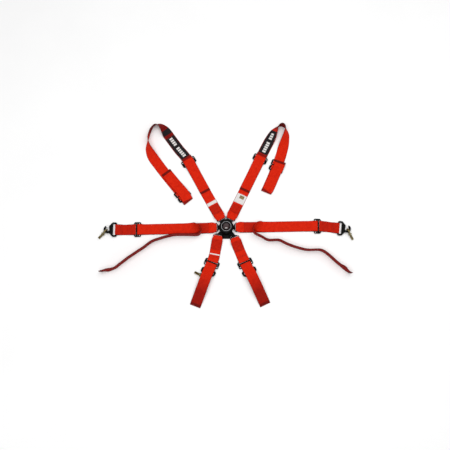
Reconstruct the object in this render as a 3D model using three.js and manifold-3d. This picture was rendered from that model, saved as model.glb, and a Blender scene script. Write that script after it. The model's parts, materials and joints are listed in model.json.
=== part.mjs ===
// A six-point racing harness laid out flat on a bench.
// Millimetres, +Z up. The origin is the middle of the buckle's back face, +X runs
// along the right lap belt and +Y runs between the two shoulder belts.
import * as THREE from 'three';
import { mergeVertices } from 'three/addons/utils/BufferGeometryUtils.js';
import Module from 'manifold-3d';

const wasm = await Module();
wasm.setup();

// ---------------------------------------------------------------- driving sizes

// Webbing: two-inch polyester.
const WEB_WIDTH = 50;
const WEB_THICK = 2;
const GAP = 0.3;
const LAYER = WEB_THICK + GAP;
const FIRST_LAYER = GAP + WEB_THICK / 2;
const SECOND_LAYER = FIRST_LAYER + LAYER;
const THIRD_LAYER = SECOND_LAYER + LAYER;
const WRAP_STEPS = 6;

// Tongues: a blade for the buckle and an eye plate for the webbing.
const TONGUE_THICK = 3;
const TONGUE_HEIGHT = 10.5;
const TONGUE_TIP = 17;
const TONGUE_BAR = 49;
const BLADE_HALF = 10;
const EYE_HALF = 23;
const EYE_SLOT_HALF = 19.5;
const EYE_WEB_WIDTH = 37;
const EYE_WEB_SPREAD = 43;
const BLADE_END = 38;
const TURNED_EYE_BACK = 9;
const BAR_HALF = 2.5;
const LOCK_HOLE_AT = 22;
const LOCK_HOLE_RADIUS = 3.5;
const PLATE_LOOP = 3.5;

// Adjusters: a slotted frame with a strap bar, a grip bar and an outer bar, and a sliding
// bar that pinches the webbing against the grip bar.
const FRAME_HEIGHT = 5.7;
const FRAME_THICK = 3;
const FRAME_HALF = 35;
const FRAME_OUTER = 30;
const GRIP_BAR_START = 7.2;
const GRIP_BAR_END = 11.9;
const STRAP_SLOT_HALF = 27.5;
const STRAP_LOOP_AHEAD = 1.7;
const FRAME_SLOT_END = 25;
const SLIDE_BAR_AT = 17.5;
const SLIDE_BAR_RADIUS = 3;
const SLIDE_BAR_LENGTH = 62.6;
const SLIDE_POCKET_AT = 13.5;
const SLIDE_POCKET_HALF = 31.8;
const BAR_LOOP = SLIDE_BAR_RADIUS + 0.4 + WEB_THICK / 2;
const BAR_TOP_LAYER = FRAME_HEIGHT + BAR_LOOP;
const OPENING_HALF = 26.5;

// Snap hooks: a forged plate with a webbing slot, an eye and a sprung gate.
const HOOK_THICK = 4;
const HOOK_BAR_HALF = 2.75;
const HOOK_BAR_HEIGHT = 6.5;
const HOOK_LOOP = 4.1;
const HOOK_SLOT_END = 14.75;
const HOOK_EAR_HALF = 34;
const HOOK_EYE_AT = 40;
const HOOK_EYE_RADIUS = 8.5;
const HOOK_NOSE_RADIUS = 18;
const HOOK_ARM_RADIUS = (HOOK_EYE_RADIUS + HOOK_NOSE_RADIUS) / 2;
const MOUTH_START = 33;
const MOUTH_END = 46;
const MOUTH_REACH = 22;
const GATE_PIVOT = [35.4, 13.5];
const GATE_LENGTH = 10.2;
const GATE_HALF = 2;
const GATE_THICK = 3;

// Eyebolts: a 7/16 inch threaded shank with a ring.
const RING_RADIUS = 11;
const RING_WIRE = 3.5;
const RING_HEIGHT = RING_RADIUS + RING_WIRE + 0.4;
const SHANK_RADIUS = 5.5;
const SHANK_START = 13;
const SHANK_END = 44;
const COLLAR_RADIUS = 8.5;
const COLLAR_START = 14;
const COLLAR_END = 17.5;
const SHANK_DROOP = 10;
const RING_TOP_LAYER = 31.3;

// Folds in the shoulder belts, their rear hooks' dip, the slides over the hooks and the
// patches sewn on the belts.
const TIGHT_FOLD = 1.7;
const SLACK_FOLD = 3;
const REAR_DIP = 4.1;
const SLIDE_THICK = 3;
const SLIDE_AT = 37;
const SLIDE_LIFT = 6.3;
const SPARE_END_AT = 196;
const BELT_SPACING = 130;
const STRAP_SPACING = 40;
const LOOP_SPACING = 15;
const PATCH_WIDTH = 46;
const PATCH_THICK = 1.2;
const PATCH_LIFT = WEB_THICK / 2 + 2 * GAP + PATCH_THICK / 2;

// Rotary cam-lock buckle, from the back upwards.
const HOUSING_RADIUS = 32;
const HOUSING_INSIDE = 28.5;
const BACK_THICK = 2.7;
const HOUSING_BOTTOM = BACK_THICK + GAP;
const LID_BOTTOM = 22;
const LID_TOP = 24;
const LID_BORE = 12;
const LOCK_PLATE_BOTTOM = 14.5;
const LOCK_PLATE_TOP = 17;
const LOCK_PIN_RADIUS = 2.5;
const LOCK_PIN_BOTTOM = TONGUE_HEIGHT + TONGUE_THICK / 2 + GAP;
const CAM_BOTTOM = 12.7;
const CAM_FOOT_TOP = 14.1;
const CAM_FOOT_RADIUS = 16;
const CAM_RADIUS = 11.5;
const CAM_BORE = 6.5;
const POST_RADIUS = 5.5;
const POST_HEAD_RADIUS = 9;
const POST_HEAD_BOTTOM = 26.5;
const POST_TOP = 29;
const SPRING_RADIUS = 18;
const SPRING_BOTTOM = 25.5;
const SPRING_RISE = 3.6;
const SPRING_TURNS = 2.5;
const SPRING_WIRE = 0.55;
const GUIDE_THICK = 9;
const KNOB_BOTTOM = 24.5;
const KNOB_TOP = 35;
const KNOB_RADIUS = 30.8;
const KNOB_LOBE = 1.5;
const KNOB_BEVEL = 3;
const KNOB_DEPTH = 9;
const KNOB_LOBES = 8;
const KNOB_CAVITY_RADIUS = 25;
const KNOB_CAVITY_TOP = 31;
const CAP_RADIUS = 15.5;
const CAP_SEAT = 32.5;
const CAP_TOP = 35.5;

// Where each tongue enters the buckle, in degrees anticlockwise from +X.
const LAP_LEFT_ANGLE = 181.2;
const LAP_RIGHT_ANGLE = 0.9;
const SHOULDER_LEFT_ANGLE = 119.3;
const SHOULDER_RIGHT_ANGLE = 64.4;
const LEG_LEFT_ANGLE = 228;
const LEG_RIGHT_ANGLE = 308;
const TONGUE_ANGLES = [
  LAP_LEFT_ANGLE, LAP_RIGHT_ANGLE, SHOULDER_LEFT_ANGLE, SHOULDER_RIGHT_ANGLE, LEG_LEFT_ANGLE,
  LEG_RIGHT_ANGLE,
];

const materials = {
  webbing: new THREE.MeshStandardMaterial({ color: 0xd8301a, roughness: 0.75, metalness: 0 }),
  patch: new THREE.MeshStandardMaterial({ color: 0x111111, roughness: 0.8, metalness: 0 }),
  blackSteel: new THREE.MeshStandardMaterial({ color: 0x0d0d0e, roughness: 0.4, metalness: 0.6 }),
  housing: new THREE.MeshStandardMaterial({ color: 0x0b0b0c, roughness: 0.45, metalness: 0.2 }),
  cap: new THREE.MeshStandardMaterial({ color: 0x2a0a10, roughness: 0.35, metalness: 0.1 }),
  plainSteel: new THREE.MeshStandardMaterial({ color: 0x9a9a98, roughness: 0.35, metalness: 0.9 }),
  zinc: new THREE.MeshStandardMaterial({ color: 0xa8984a, roughness: 0.35, metalness: 0.9 }),
};

// ---------------------------------------------------------------- solid helpers

function toSolid(geometry) {
  const bare = geometry.clone();
  bare.deleteAttribute('normal');
  bare.deleteAttribute('uv');
  const merged = mergeVertices(bare, 1e-4);
  return new wasm.Manifold(new wasm.Mesh({
    numProp: 3,
    vertProperties: Float32Array.from(merged.attributes.position.array),
    triVerts: Uint32Array.from(merged.index.array),
  }));
}

function toGeometry(solid) {
  const mesh = solid.getMesh();
  const geometry = new THREE.BufferGeometry();
  geometry.setAttribute('position', new THREE.BufferAttribute(Float32Array.from(mesh.vertProperties), 3));
  geometry.setIndex(Array.from(mesh.triVerts));
  return geometry;
}

function joined(geometries) {
  const solids = geometries.map(toSolid);
  return solids.reduce((sum, solid) => sum.add(solid));
}

function carve(added, removed) {
  return toGeometry(removed.map(toSolid).reduce((body, cut) => body.subtract(cut), joined(added)));
}

function outline(points) {
  return new THREE.Shape(points.map(([x, y]) => new THREE.Vector2(x, y)));
}

// A flat plate of the given outline, its thickness centred on z = 0.
function plate(points, thickness) {
  const geometry = new THREE.ExtrudeGeometry(outline(points), { depth: thickness, bevelEnabled: false });
  return geometry.translate(0, 0, -thickness / 2);
}

function mirrored(points) {
  return [...points, ...points.map(([x, y]) => [x, -y]).reverse()];
}

function box(lowX, highX, lowY, highY, thickness) {
  return plate([[lowX, lowY], [highX, lowY], [highX, highY], [lowX, highY]], thickness);
}

// A round bar or disc whose axis is +Z, from one height to another.
function disc(radius, bottom, top, sides) {
  const geometry = new THREE.CylinderGeometry(radius, radius, top - bottom, sides);
  return geometry.rotateX(Math.PI / 2).translate(0, 0, (bottom + top) / 2);
}

function lathe(profile, sides) {
  const points = profile.map(([radius, height]) => new THREE.Vector2(radius, height));
  points.push(points[0].clone());
  return new THREE.LatheGeometry(points, sides).rotateX(Math.PI / 2);
}

function degrees(angle) {
  return THREE.MathUtils.degToRad(angle);
}

// ---------------------------------------------------------------- belt routes

// The line in plan along which one belt lies, measured outwards from the buckle.
class Route {
  constructor(points) {
    const corners = points.map(([x, y]) => new THREE.Vector3(x, y, 0));
    this.curve = new THREE.CatmullRomCurve3(corners, false, 'catmullrom', 0.5);
    this.curve.arcLengthDivisions = 600;
    this.length = this.curve.getLength();
  }

  // The place on the floor, and the forward and left directions there.
  at(distance) {
    const along = THREE.MathUtils.clamp(distance / this.length, 0, 1);
    const forward = this.curve.getTangentAt(along);
    const place = this.curve.getPointAt(along);
    place.addScaledVector(forward, distance - along * this.length);
    const left = new THREE.Vector3(-forward.y, forward.x, 0);
    return { place, forward, left };
  }

  heading(distance) {
    const { forward } = this.at(distance);
    return Math.atan2(forward.y, forward.x);
  }

  // Webbing stations along the route. A row is a distance, a height above the bench,
  // a shift to the left, a tilt (90 stands the webbing on edge) and a width.
  stations(rows, spacing = Infinity) {
    const full = rows.map(([distance, height, shift = 0, tilt = 0, width = WEB_WIDTH]) => (
      [distance, height, shift, tilt, width]
    ));
    const list = [];
    full.forEach((row, index) => {
      if (index > 0) {
        const before = full[index - 1];
        const parts = Math.max(1, Math.round(Math.abs(row[0] - before[0]) / spacing));
        for (let part = 1; part < parts; part += 1) {
          list.push(this.station(before.map((value, item) => value + (row[item] - value) * part / parts)));
        }
      }
      list.push(this.station(row));
    });
    return list;
  }

  station([distance, height, shift, tilt, width]) {
    const { place, left } = this.at(distance);
    const across = left.clone().multiplyScalar(Math.cos(degrees(tilt)));
    across.z = Math.sin(degrees(tilt));
    place.addScaledVector(left, shift);
    place.z = height;
    return { place, across, width };
  }
}

// Rows that take webbing round a bar, between two angles in the belt's side view.
function wrap(at, height, radius, from, to, width = WEB_WIDTH) {
  return Array.from({ length: WRAP_STEPS + 1 }, (_, step) => {
    const angle = degrees(from + (to - from) * step / WRAP_STEPS);
    return [at + radius * Math.cos(angle), height + radius * Math.sin(angle), 0, 0, width];
  });
}

// A closed strip of rectangular section through the stations.
function ribbon(stations, thickness = WEB_THICK) {
  const corners = [];
  const last = stations.length - 1;
  stations.forEach(({ place, across, width }, index) => {
    const into = place.clone().sub(stations[Math.max(index - 1, 0)].place).normalize();
    const out = stations[Math.min(index + 1, last)].place.clone().sub(place).normalize();
    const tangent = into.add(out).normalize();
    const side = across.clone().addScaledVector(tangent, -across.dot(tangent)).normalize();
    const normal = tangent.clone().cross(side);
    [[-1, -1], [1, -1], [1, 1], [-1, 1]].forEach(([sideways, upward]) => {
      const corner = place.clone().addScaledVector(side, sideways * width / 2);
      corners.push(corner.addScaledVector(normal, upward * thickness / 2));
    });
  });
  // The lower and upper faces are split along the same diagonal, so that a twisted
  // strip keeps its thickness.
  const faces = [];
  for (let section = 0; section < last; section += 1) {
    for (let corner = 0; corner < 4; corner += 1) {
      const here = section * 4 + corner;
      const next = section * 4 + (corner + 1) % 4;
      if (corner < 2) {
        faces.push(here, next, next + 4, here, next + 4, here + 4);
      } else {
        faces.push(here, next, here + 4, next, next + 4, here + 4);
      }
    }
  }
  const end = last * 4;
  faces.push(0, 2, 1, 0, 3, 2, end, end + 1, end + 2, end, end + 2, end + 3);
  const geometry = new THREE.BufferGeometry();
  geometry.setAttribute('position', new THREE.Float32BufferAttribute(corners.flatMap((c) => c.toArray()), 3));
  geometry.setIndex(faces);
  return facingOut(geometry);
}

// Turns the faces round where the strip's sections were numbered the other way.
function facingOut(geometry) {
  const place = geometry.attributes.position;
  const index = geometry.index.array;
  const [a, b, c] = [new THREE.Vector3(), new THREE.Vector3(), new THREE.Vector3()];
  let volume = 0;
  for (let face = 0; face < index.length; face += 3) {
    a.fromBufferAttribute(place, index[face]);
    b.fromBufferAttribute(place, index[face + 1]);
    c.fromBufferAttribute(place, index[face + 2]);
    volume += a.dot(b.cross(c));
  }
  if (volume < 0) {
    for (let face = 0; face < index.length; face += 3) {
      [index[face + 1], index[face + 2]] = [index[face + 2], index[face + 1]];
    }
  }
  return geometry;
}

// ---------------------------------------------------------------- the assembly

const harness = new THREE.Group();

function part(name, geometry, material, parent = harness) {
  const mesh = new THREE.Mesh(geometry, material);
  mesh.name = name;
  parent.add(mesh);
  return mesh;
}

// A group standing on a route, facing along it and turned by some degrees.
function stand(route, distance, height, turn = 0) {
  const group = new THREE.Group();
  group.position.copy(route.at(distance).place);
  group.position.z = height;
  group.rotation.z = route.heading(distance) + degrees(turn);
  harness.add(group);
  return group;
}

// ---------------------------------------------------------------- hardware

// The blade tapers towards the middle of the buckle, where its lock hole is.
function bladeShapes(reach) {
  const blade = mirrored([[TONGUE_TIP, -5], [26, -BLADE_HALF], [reach, -BLADE_HALF]]);
  return {
    blade: plate(blade, TONGUE_THICK),
    hole: disc(LOCK_HOLE_RADIUS, -TONGUE_THICK, TONGUE_THICK, 12).translate(LOCK_HOLE_AT, 0, 0),
  };
}

function eyeShapes(barAt) {
  const eye = mirrored([
    [barAt - 13, -BLADE_HALF], [barAt - 8, -EYE_HALF + 3], [barAt - 3, -EYE_HALF],
    [barAt + BAR_HALF, -EYE_HALF + 3],
  ]);
  const slot = box(barAt - 7.5, barAt - BAR_HALF, -EYE_SLOT_HALF, EYE_SLOT_HALF, TONGUE_THICK * 2);
  return { eye: plate(eye, TONGUE_THICK), slot };
}

function straightTongue(name, angle) {
  const { blade, hole } = bladeShapes(BLADE_END);
  const { eye, slot } = eyeShapes(TONGUE_BAR);
  const tongue = part(name, carve([blade, eye], [slot, hole]), materials.blackSteel);
  tongue.position.z = TONGUE_HEIGHT;
  tongue.rotation.z = degrees(angle);
}

// A leg tongue's eye is turned from its blade, to point down the leg belt.
function turnedTongue(name, angle, route, barAt) {
  const { place } = route.at(barAt);
  const { blade, hole } = bladeShapes(place.length() - TURNED_EYE_BACK);
  const { eye, slot } = eyeShapes(0);
  const blades = [blade, hole].map((shape) => shape.rotateZ(degrees(angle)));
  const eyes = [eye, slot].map((shape) => shape.rotateZ(route.heading(barAt)).translate(place.x, place.y, 0));
  const tongue = part(name, carve([blades[0], eyes[0]], [eyes[1], blades[1]]), materials.blackSteel);
  tongue.position.z = TONGUE_HEIGHT;
}

// The frame's own x runs from its strap bar to its outer bar, with the sliding bar at 0.
function adjuster(prefix, route, slideBarAt, turn) {
  const group = stand(route, slideBarAt, FRAME_HEIGHT, turn);
  const frame = plate(mirrored([
    [-BAR_HALF, -29], [2, -FRAME_HALF], [FRAME_OUTER - 4, -FRAME_HALF], [FRAME_OUTER, -31],
  ]), FRAME_THICK);
  const openings = [
    box(BAR_HALF, GRIP_BAR_START, -STRAP_SLOT_HALF, STRAP_SLOT_HALF, FRAME_THICK * 2),
    box(GRIP_BAR_END, FRAME_SLOT_END, -OPENING_HALF, OPENING_HALF, FRAME_THICK * 2),
    box(SLIDE_POCKET_AT, FRAME_SLOT_END, -SLIDE_POCKET_HALF, SLIDE_POCKET_HALF, FRAME_THICK * 2),
  ];
  const body = carve([frame], openings).translate(-SLIDE_BAR_AT, 0, 0);
  part(`${prefix}_adjuster_frame`, body, materials.blackSteel, group);
  const bar = new THREE.CylinderGeometry(SLIDE_BAR_RADIUS, SLIDE_BAR_RADIUS, SLIDE_BAR_LENGTH, 12);
  part(`${prefix}_adjuster_bar`, bar, materials.blackSteel, group);
}

// The three-bar slide that keeps a shoulder belt's doubled end together, over its hook.
function threeBarSlide(name, group) {
  const body = plate(mirrored([[-14, -29], [-11, -32.5], [11, -32.5], [14, -29]]), SLIDE_THICK);
  const windows = [[-10, -2], [2, 10]].map(([low, high]) => (
    box(low, high, -OPENING_HALF, OPENING_HALF, SLIDE_THICK * 2)
  ));
  const slide = part(name, carve([body], windows), materials.blackSteel, group);
  slide.position.set(SLIDE_AT, 0, SLIDE_LIFT);
}

// The plate's own x runs from the webbing bar to the nose. The gate closes the mouth
// on the side given, +1 for the plate's left.
function snapHook(prefix, group, side) {
  const shank = mirrored([
    [-HOOK_BAR_HALF, -29], [2, -HOOK_EAR_HALF], [16, -HOOK_EAR_HALF], [21, -30], [34, -15],
    [HOOK_EYE_AT, -15],
  ]);
  const solids = [
    plate(shank, HOOK_THICK),
    disc(HOOK_NOSE_RADIUS, -HOOK_THICK / 2, HOOK_THICK / 2, 32).translate(HOOK_EYE_AT, 0, 0),
  ];
  const mouthReach = side * MOUTH_REACH;
  const cuts = [
    box(HOOK_BAR_HALF, HOOK_SLOT_END, -OPENING_HALF, OPENING_HALF, HOOK_THICK * 2),
    disc(HOOK_EYE_RADIUS, -HOOK_THICK, HOOK_THICK, 24).translate(HOOK_EYE_AT, 0, 0),
    box(MOUTH_START, MOUTH_END, Math.min(0, mouthReach), Math.max(0, mouthReach), HOOK_THICK * 2),
  ];
  part(`${prefix}_snap_hook`, carve(solids, cuts), materials.blackSteel, group);
  const gate = outline([[GATE_LENGTH, -GATE_HALF], [GATE_LENGTH, GATE_HALF], [0, GATE_HALF]]);
  gate.absarc(0, 0, GATE_HALF, Math.PI / 2, Math.PI * 1.5, false);
  const body = new THREE.ExtrudeGeometry(gate, {
    depth: GATE_THICK, bevelEnabled: false, curveSegments: 5,
  }).translate(0, 0, -GATE_THICK / 2);
  const latch = part(`${prefix}_hook_latch`, body, materials.plainSteel, group);
  latch.position.set(GATE_PIVOT[0], side * GATE_PIVOT[1], 0);
}

// An eyebolt's ring stands on edge round the hook's arm, with the shank resting on the
// bench. The hook's plate is lifted at the nose until its arm is in the ring's middle.
function hookWithEyebolt(prefix, route, barAt, side, shankTurn) {
  const armX = HOOK_EYE_AT + HOOK_ARM_RADIUS * Math.cos(degrees(shankTurn));
  const armY = HOOK_ARM_RADIUS * Math.sin(degrees(shankTurn));
  const lift = Math.asin((RING_HEIGHT - HOOK_BAR_HEIGHT) / armX);
  const group = stand(route, barAt, HOOK_BAR_HEIGHT);
  const tilted = new THREE.Group();
  tilted.rotation.y = -lift;
  group.add(tilted);
  snapHook(prefix, tilted, side);
  const bolt = new THREE.Group();
  bolt.position.set(armX * Math.cos(lift), armY, RING_HEIGHT - HOOK_BAR_HEIGHT);
  bolt.rotation.z = degrees(shankTurn);
  group.add(bolt);
  const eyebolt = part(`${prefix}_eyebolt`, eyeboltShape(), materials.zinc, bolt);
  eyebolt.rotation.y = degrees(SHANK_DROOP);
}

function eyeboltShape() {
  const ring = new THREE.TorusGeometry(RING_RADIUS, RING_WIRE, 8, 18).rotateX(Math.PI / 2);
  const shank = disc(SHANK_RADIUS, SHANK_START, SHANK_END, 12).rotateY(Math.PI / 2);
  const collar = disc(COLLAR_RADIUS, COLLAR_START, COLLAR_END, 12).rotateY(Math.PI / 2);
  return carve([ring, shank, collar], []);
}

// ---------------------------------------------------------------- buckle

function bucklePlate() {
  const legPlate = plate([[-24, -52], [21, -52], [17, -20], [-20, -20]], BACK_THICK);
  const back = carve([disc(HOUSING_RADIUS, -BACK_THICK / 2, BACK_THICK / 2, 40), legPlate], []);
  part('buckle_back_plate', back, materials.blackSteel).position.z = BACK_THICK / 2;
}

// The raised block that keeps the two leg tongues apart.
function legGuide() {
  const block = plate([[-13, -50], [11, -50], [12, -35], [-13, -35]], GUIDE_THICK);
  part('buckle_leg_guide', block, materials.housing).position.z = HOUSING_BOTTOM + GUIDE_THICK / 2;
}

function housing() {
  const shell = lathe([
    [HOUSING_INSIDE, HOUSING_BOTTOM], [HOUSING_RADIUS, HOUSING_BOTTOM], [HOUSING_RADIUS, LID_TOP],
    [LID_BORE, LID_TOP], [LID_BORE, LID_BOTTOM], [HOUSING_INSIDE, LID_BOTTOM],
  ], 36);
  const mouthHalf = BLADE_HALF + GAP;
  const mouths = TONGUE_ANGLES.map((angle) => {
    const mouth = box(26, 35, -mouthHalf, mouthHalf, TONGUE_THICK + 2 * GAP);
    return mouth.rotateZ(degrees(angle)).translate(0, 0, TONGUE_HEIGHT);
  });
  part('buckle_housing', carve([shell], mouths), materials.housing);
}

// The pins stand on the tongues' blades, over their lock holes.
function lockPlate() {
  const ring = lathe([
    [LID_BORE + 0.5, LOCK_PLATE_BOTTOM], [HOUSING_INSIDE - 1, LOCK_PLATE_BOTTOM],
    [HOUSING_INSIDE - 1, LOCK_PLATE_TOP], [LID_BORE + 0.5, LOCK_PLATE_TOP],
  ], 28);
  const pins = TONGUE_ANGLES.map((angle) => {
    const pin = disc(LOCK_PIN_RADIUS, LOCK_PIN_BOTTOM, LOCK_PLATE_BOTTOM + 1, 8);
    return pin.translate(LOCK_HOLE_AT, 0, 0).rotateZ(degrees(angle));
  });
  part('buckle_lock_plate', carve([ring, ...pins], []), materials.plainSteel);
}

// The cam's foot lies under the lock plate and lifts it when the knob turns.
function camRing() {
  const profile = [
    [CAM_BORE, CAM_BOTTOM], [CAM_FOOT_RADIUS, CAM_BOTTOM], [CAM_FOOT_RADIUS, CAM_FOOT_TOP],
    [CAM_RADIUS, CAM_FOOT_TOP], [CAM_RADIUS, KNOB_BOTTOM - GAP], [CAM_BORE, KNOB_BOTTOM - GAP],
  ];
  part('buckle_cam_ring', lathe(profile, 24), materials.plainSteel);
}

function centrePost() {
  const shaft = disc(POST_RADIUS, HOUSING_BOTTOM, POST_TOP, 16);
  const head = disc(POST_HEAD_RADIUS, POST_HEAD_BOTTOM, POST_TOP, 16);
  part('buckle_centre_post', carve([shaft, head], []), materials.plainSteel);
}

function knobSpring() {
  const steps = 36;
  const coil = new THREE.CatmullRomCurve3(Array.from({ length: steps + 1 }, (_, step) => {
    const angle = SPRING_TURNS * 2 * Math.PI * step / steps;
    const height = SPRING_BOTTOM + SPRING_RISE * step / steps;
    return new THREE.Vector3(SPRING_RADIUS * Math.cos(angle), SPRING_RADIUS * Math.sin(angle), height);
  }));
  const wire = outline(Array.from({ length: 6 }, (_, side) => (
    [SPRING_WIRE * Math.cos(side * Math.PI / 3), SPRING_WIRE * Math.sin(side * Math.PI / 3)]
  )));
  const spring = new THREE.ExtrudeGeometry(wire, { steps: steps + 4, extrudePath: coil });
  part('buckle_knob_spring', spring, materials.plainSteel);
}

function knob() {
  const points = Array.from({ length: KNOB_LOBES * 8 }, (_, step) => {
    const angle = 2 * Math.PI * step / (KNOB_LOBES * 8);
    const radius = KNOB_RADIUS + KNOB_LOBE * Math.cos(KNOB_LOBES * angle);
    return [radius * Math.cos(angle), radius * Math.sin(angle)];
  });
  const body = new THREE.ExtrudeGeometry(outline(points), {
    depth: KNOB_DEPTH, bevelThickness: KNOB_BEVEL, bevelSize: KNOB_BEVEL, bevelSegments: 2,
  }).translate(0, 0, KNOB_TOP - KNOB_BEVEL - KNOB_DEPTH);
  const below = disc(KNOB_RADIUS + 8, KNOB_BOTTOM - 12, KNOB_BOTTOM, 12);
  const cavity = disc(KNOB_CAVITY_RADIUS, KNOB_BOTTOM - 1, KNOB_CAVITY_TOP, 28);
  const seat = disc(CAP_RADIUS + 0.4, CAP_SEAT, KNOB_TOP + 1, 24);
  part('buckle_knob', carve([body], [below, cavity, seat]), materials.housing);
  part('buckle_knob_cap', disc(CAP_RADIUS, CAP_SEAT + GAP, CAP_TOP, 24), materials.cap);
}

bucklePlate();
legGuide();
housing();
lockPlate();
camRing();
centrePost();
knobSpring();
knob();

// ---------------------------------------------------------------- belts

// The sewn loop round a tongue's bar, from its short end under the belt to the upper
// layer, which comes down to the bench past the short end.
function tongueLoop(barAt, height, sewnTo) {
  return [
    [sewnTo, FIRST_LAYER], [barAt + 36, FIRST_LAYER],
    [barAt + 12, height - PLATE_LOOP - 0.8, 0, 0, EYE_WEB_SPREAD],
    ...wrap(barAt - 1, height, PLATE_LOOP, 270, 90, EYE_WEB_WIDTH),
    [barAt + 12, height + PLATE_LOOP - 0.8, 0, 0, EYE_WEB_SPREAD], [barAt + 38, THIRD_LAYER - 1],
    [sewnTo, SECOND_LAYER], [sewnTo + 5, SECOND_LAYER], [sewnTo + 16, FIRST_LAYER],
  ];
}

// A lap belt: the long belt runs out to the adjuster, round its sliding bar and back
// towards the buckle, where its spare end turns on edge and runs outwards again.
function lapBelt({ prefix, angle, route, tail, adjusterAt, hookAt, shankTurn, tailSide }) {
  straightTongue(`${prefix}_tongue`, angle);
  const slideBar = adjusterAt - SLIDE_BAR_AT;
  const belt = [
    ...tongueLoop(TONGUE_BAR, TONGUE_HEIGHT, TONGUE_BAR + 82),
    [adjusterAt - 40, FIRST_LAYER],
    ...wrap(slideBar, FRAME_HEIGHT, BAR_LOOP, -90, 90),
    [adjusterAt - FRAME_OUTER - 1, BAR_TOP_LAYER - 0.6], [adjusterAt - 52, SECOND_LAYER],
    [196, SECOND_LAYER], [170, THIRD_LAYER + 1],
  ];
  const flat = 180;
  const onEdge = flat + tailSide * 90;
  const spare = [
    [14, 12, 0, flat + tailSide * 20], [30, 24, 0, flat + tailSide * 50], [46, 31, 0, flat + tailSide * 78],
    [64, 31, 0, onEdge], [84, 27, 0, onEdge], [tail.length - 62, 26, 0, onEdge],
    [tail.length - 40, 26, 0, onEdge + tailSide * 8], [tail.length, 26, 0, onEdge - tailSide * 9],
  ];
  const stations = [...route.stations(belt, BELT_SPACING), ...tail.stations(spare, LOOP_SPACING)];
  part(`${prefix}_belt`, ribbon(stations), materials.webbing);
  const anchor = [
    [adjusterAt + 34, SECOND_LAYER], [adjusterAt + 14, SECOND_LAYER + 2],
    [adjusterAt + 4, FRAME_HEIGHT + PLATE_LOOP + 0.2],
    ...wrap(adjusterAt - STRAP_LOOP_AHEAD, FRAME_HEIGHT, PLATE_LOOP, 90, 270),
    [adjusterAt + 14, FIRST_LAYER], [hookAt - 24, FIRST_LAYER],
    ...wrap(hookAt + 1, HOOK_BAR_HEIGHT, HOOK_LOOP, -90, 90),
    [hookAt - 12, SECOND_LAYER + 3], [hookAt - 28, SECOND_LAYER],
  ];
  part(`${prefix}_anchor_strap`, ribbon(route.stations(anchor)), materials.webbing);
  adjuster(prefix, route, slideBar, 180);
  hookWithEyebolt(prefix, route, hookAt, -Math.sign(shankTurn), shankTurn);
}

// A station of a loop that stands up off the bench: the further it tilts, the higher
// its middle. A negative tilt lifts the belt's right edge.
function banked([distance, tilt]) {
  return [distance, FIRST_LAYER + WEB_WIDTH / 2 * Math.abs(Math.sin(degrees(tilt))), 0, tilt];
}

// The same station lifted off the face of the belt, for a patch sewn on it.
function lifted([distance, height, shift, tilt], lift) {
  const up = lift * Math.cos(degrees(tilt));
  const aside = lift * Math.sin(degrees(tilt));
  return [distance, height + up, shift - aside, tilt, PATCH_WIDTH];
}

// The doubled rear end of a shoulder belt, from the loop to the cut end of its tail. It
// passes over the hook's plate, through the slide, down through the hook's slot, round a
// slack fold past the hook's bar, and back over everything.
function rearRows({ hookAt, slack, slackTop, tailShift, tail }) {
  const above = (back, lift, shift = 0) => (
    [hookAt - back, HOOK_BAR_HEIGHT - Math.tan(degrees(REAR_DIP)) * back + lift, shift]
  );
  return [
    [hookAt - 100, FIRST_LAYER], [hookAt - 66, 4.8],
    above(58, 3.4), above(46.5, 3.4), above(39.5, 9.4), above(34.5, 9.4), above(27.5, 3.4),
    above(16, 3.4), above(14, 3.2), above(4.5, -4), above(-3, -3.9), [hookAt + 14, FIRST_LAYER],
    ...wrap(hookAt + slack - 4, FIRST_LAYER + SLACK_FOLD, SLACK_FOLD, -90, 90),
    ...slackTop.map(([past, height]) => [hookAt + past, height, tailShift / 2]),
    above(-4, 3.6, tailShift / 2), above(14, 6.6, tailShift), above(22, 9.6, tailShift),
    above(32, 11.9, tailShift), above(44, 11.9, tailShift),
    ...tail.map(([back, height]) => [hookAt - back, height, tailShift]),
  ];
}

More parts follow.
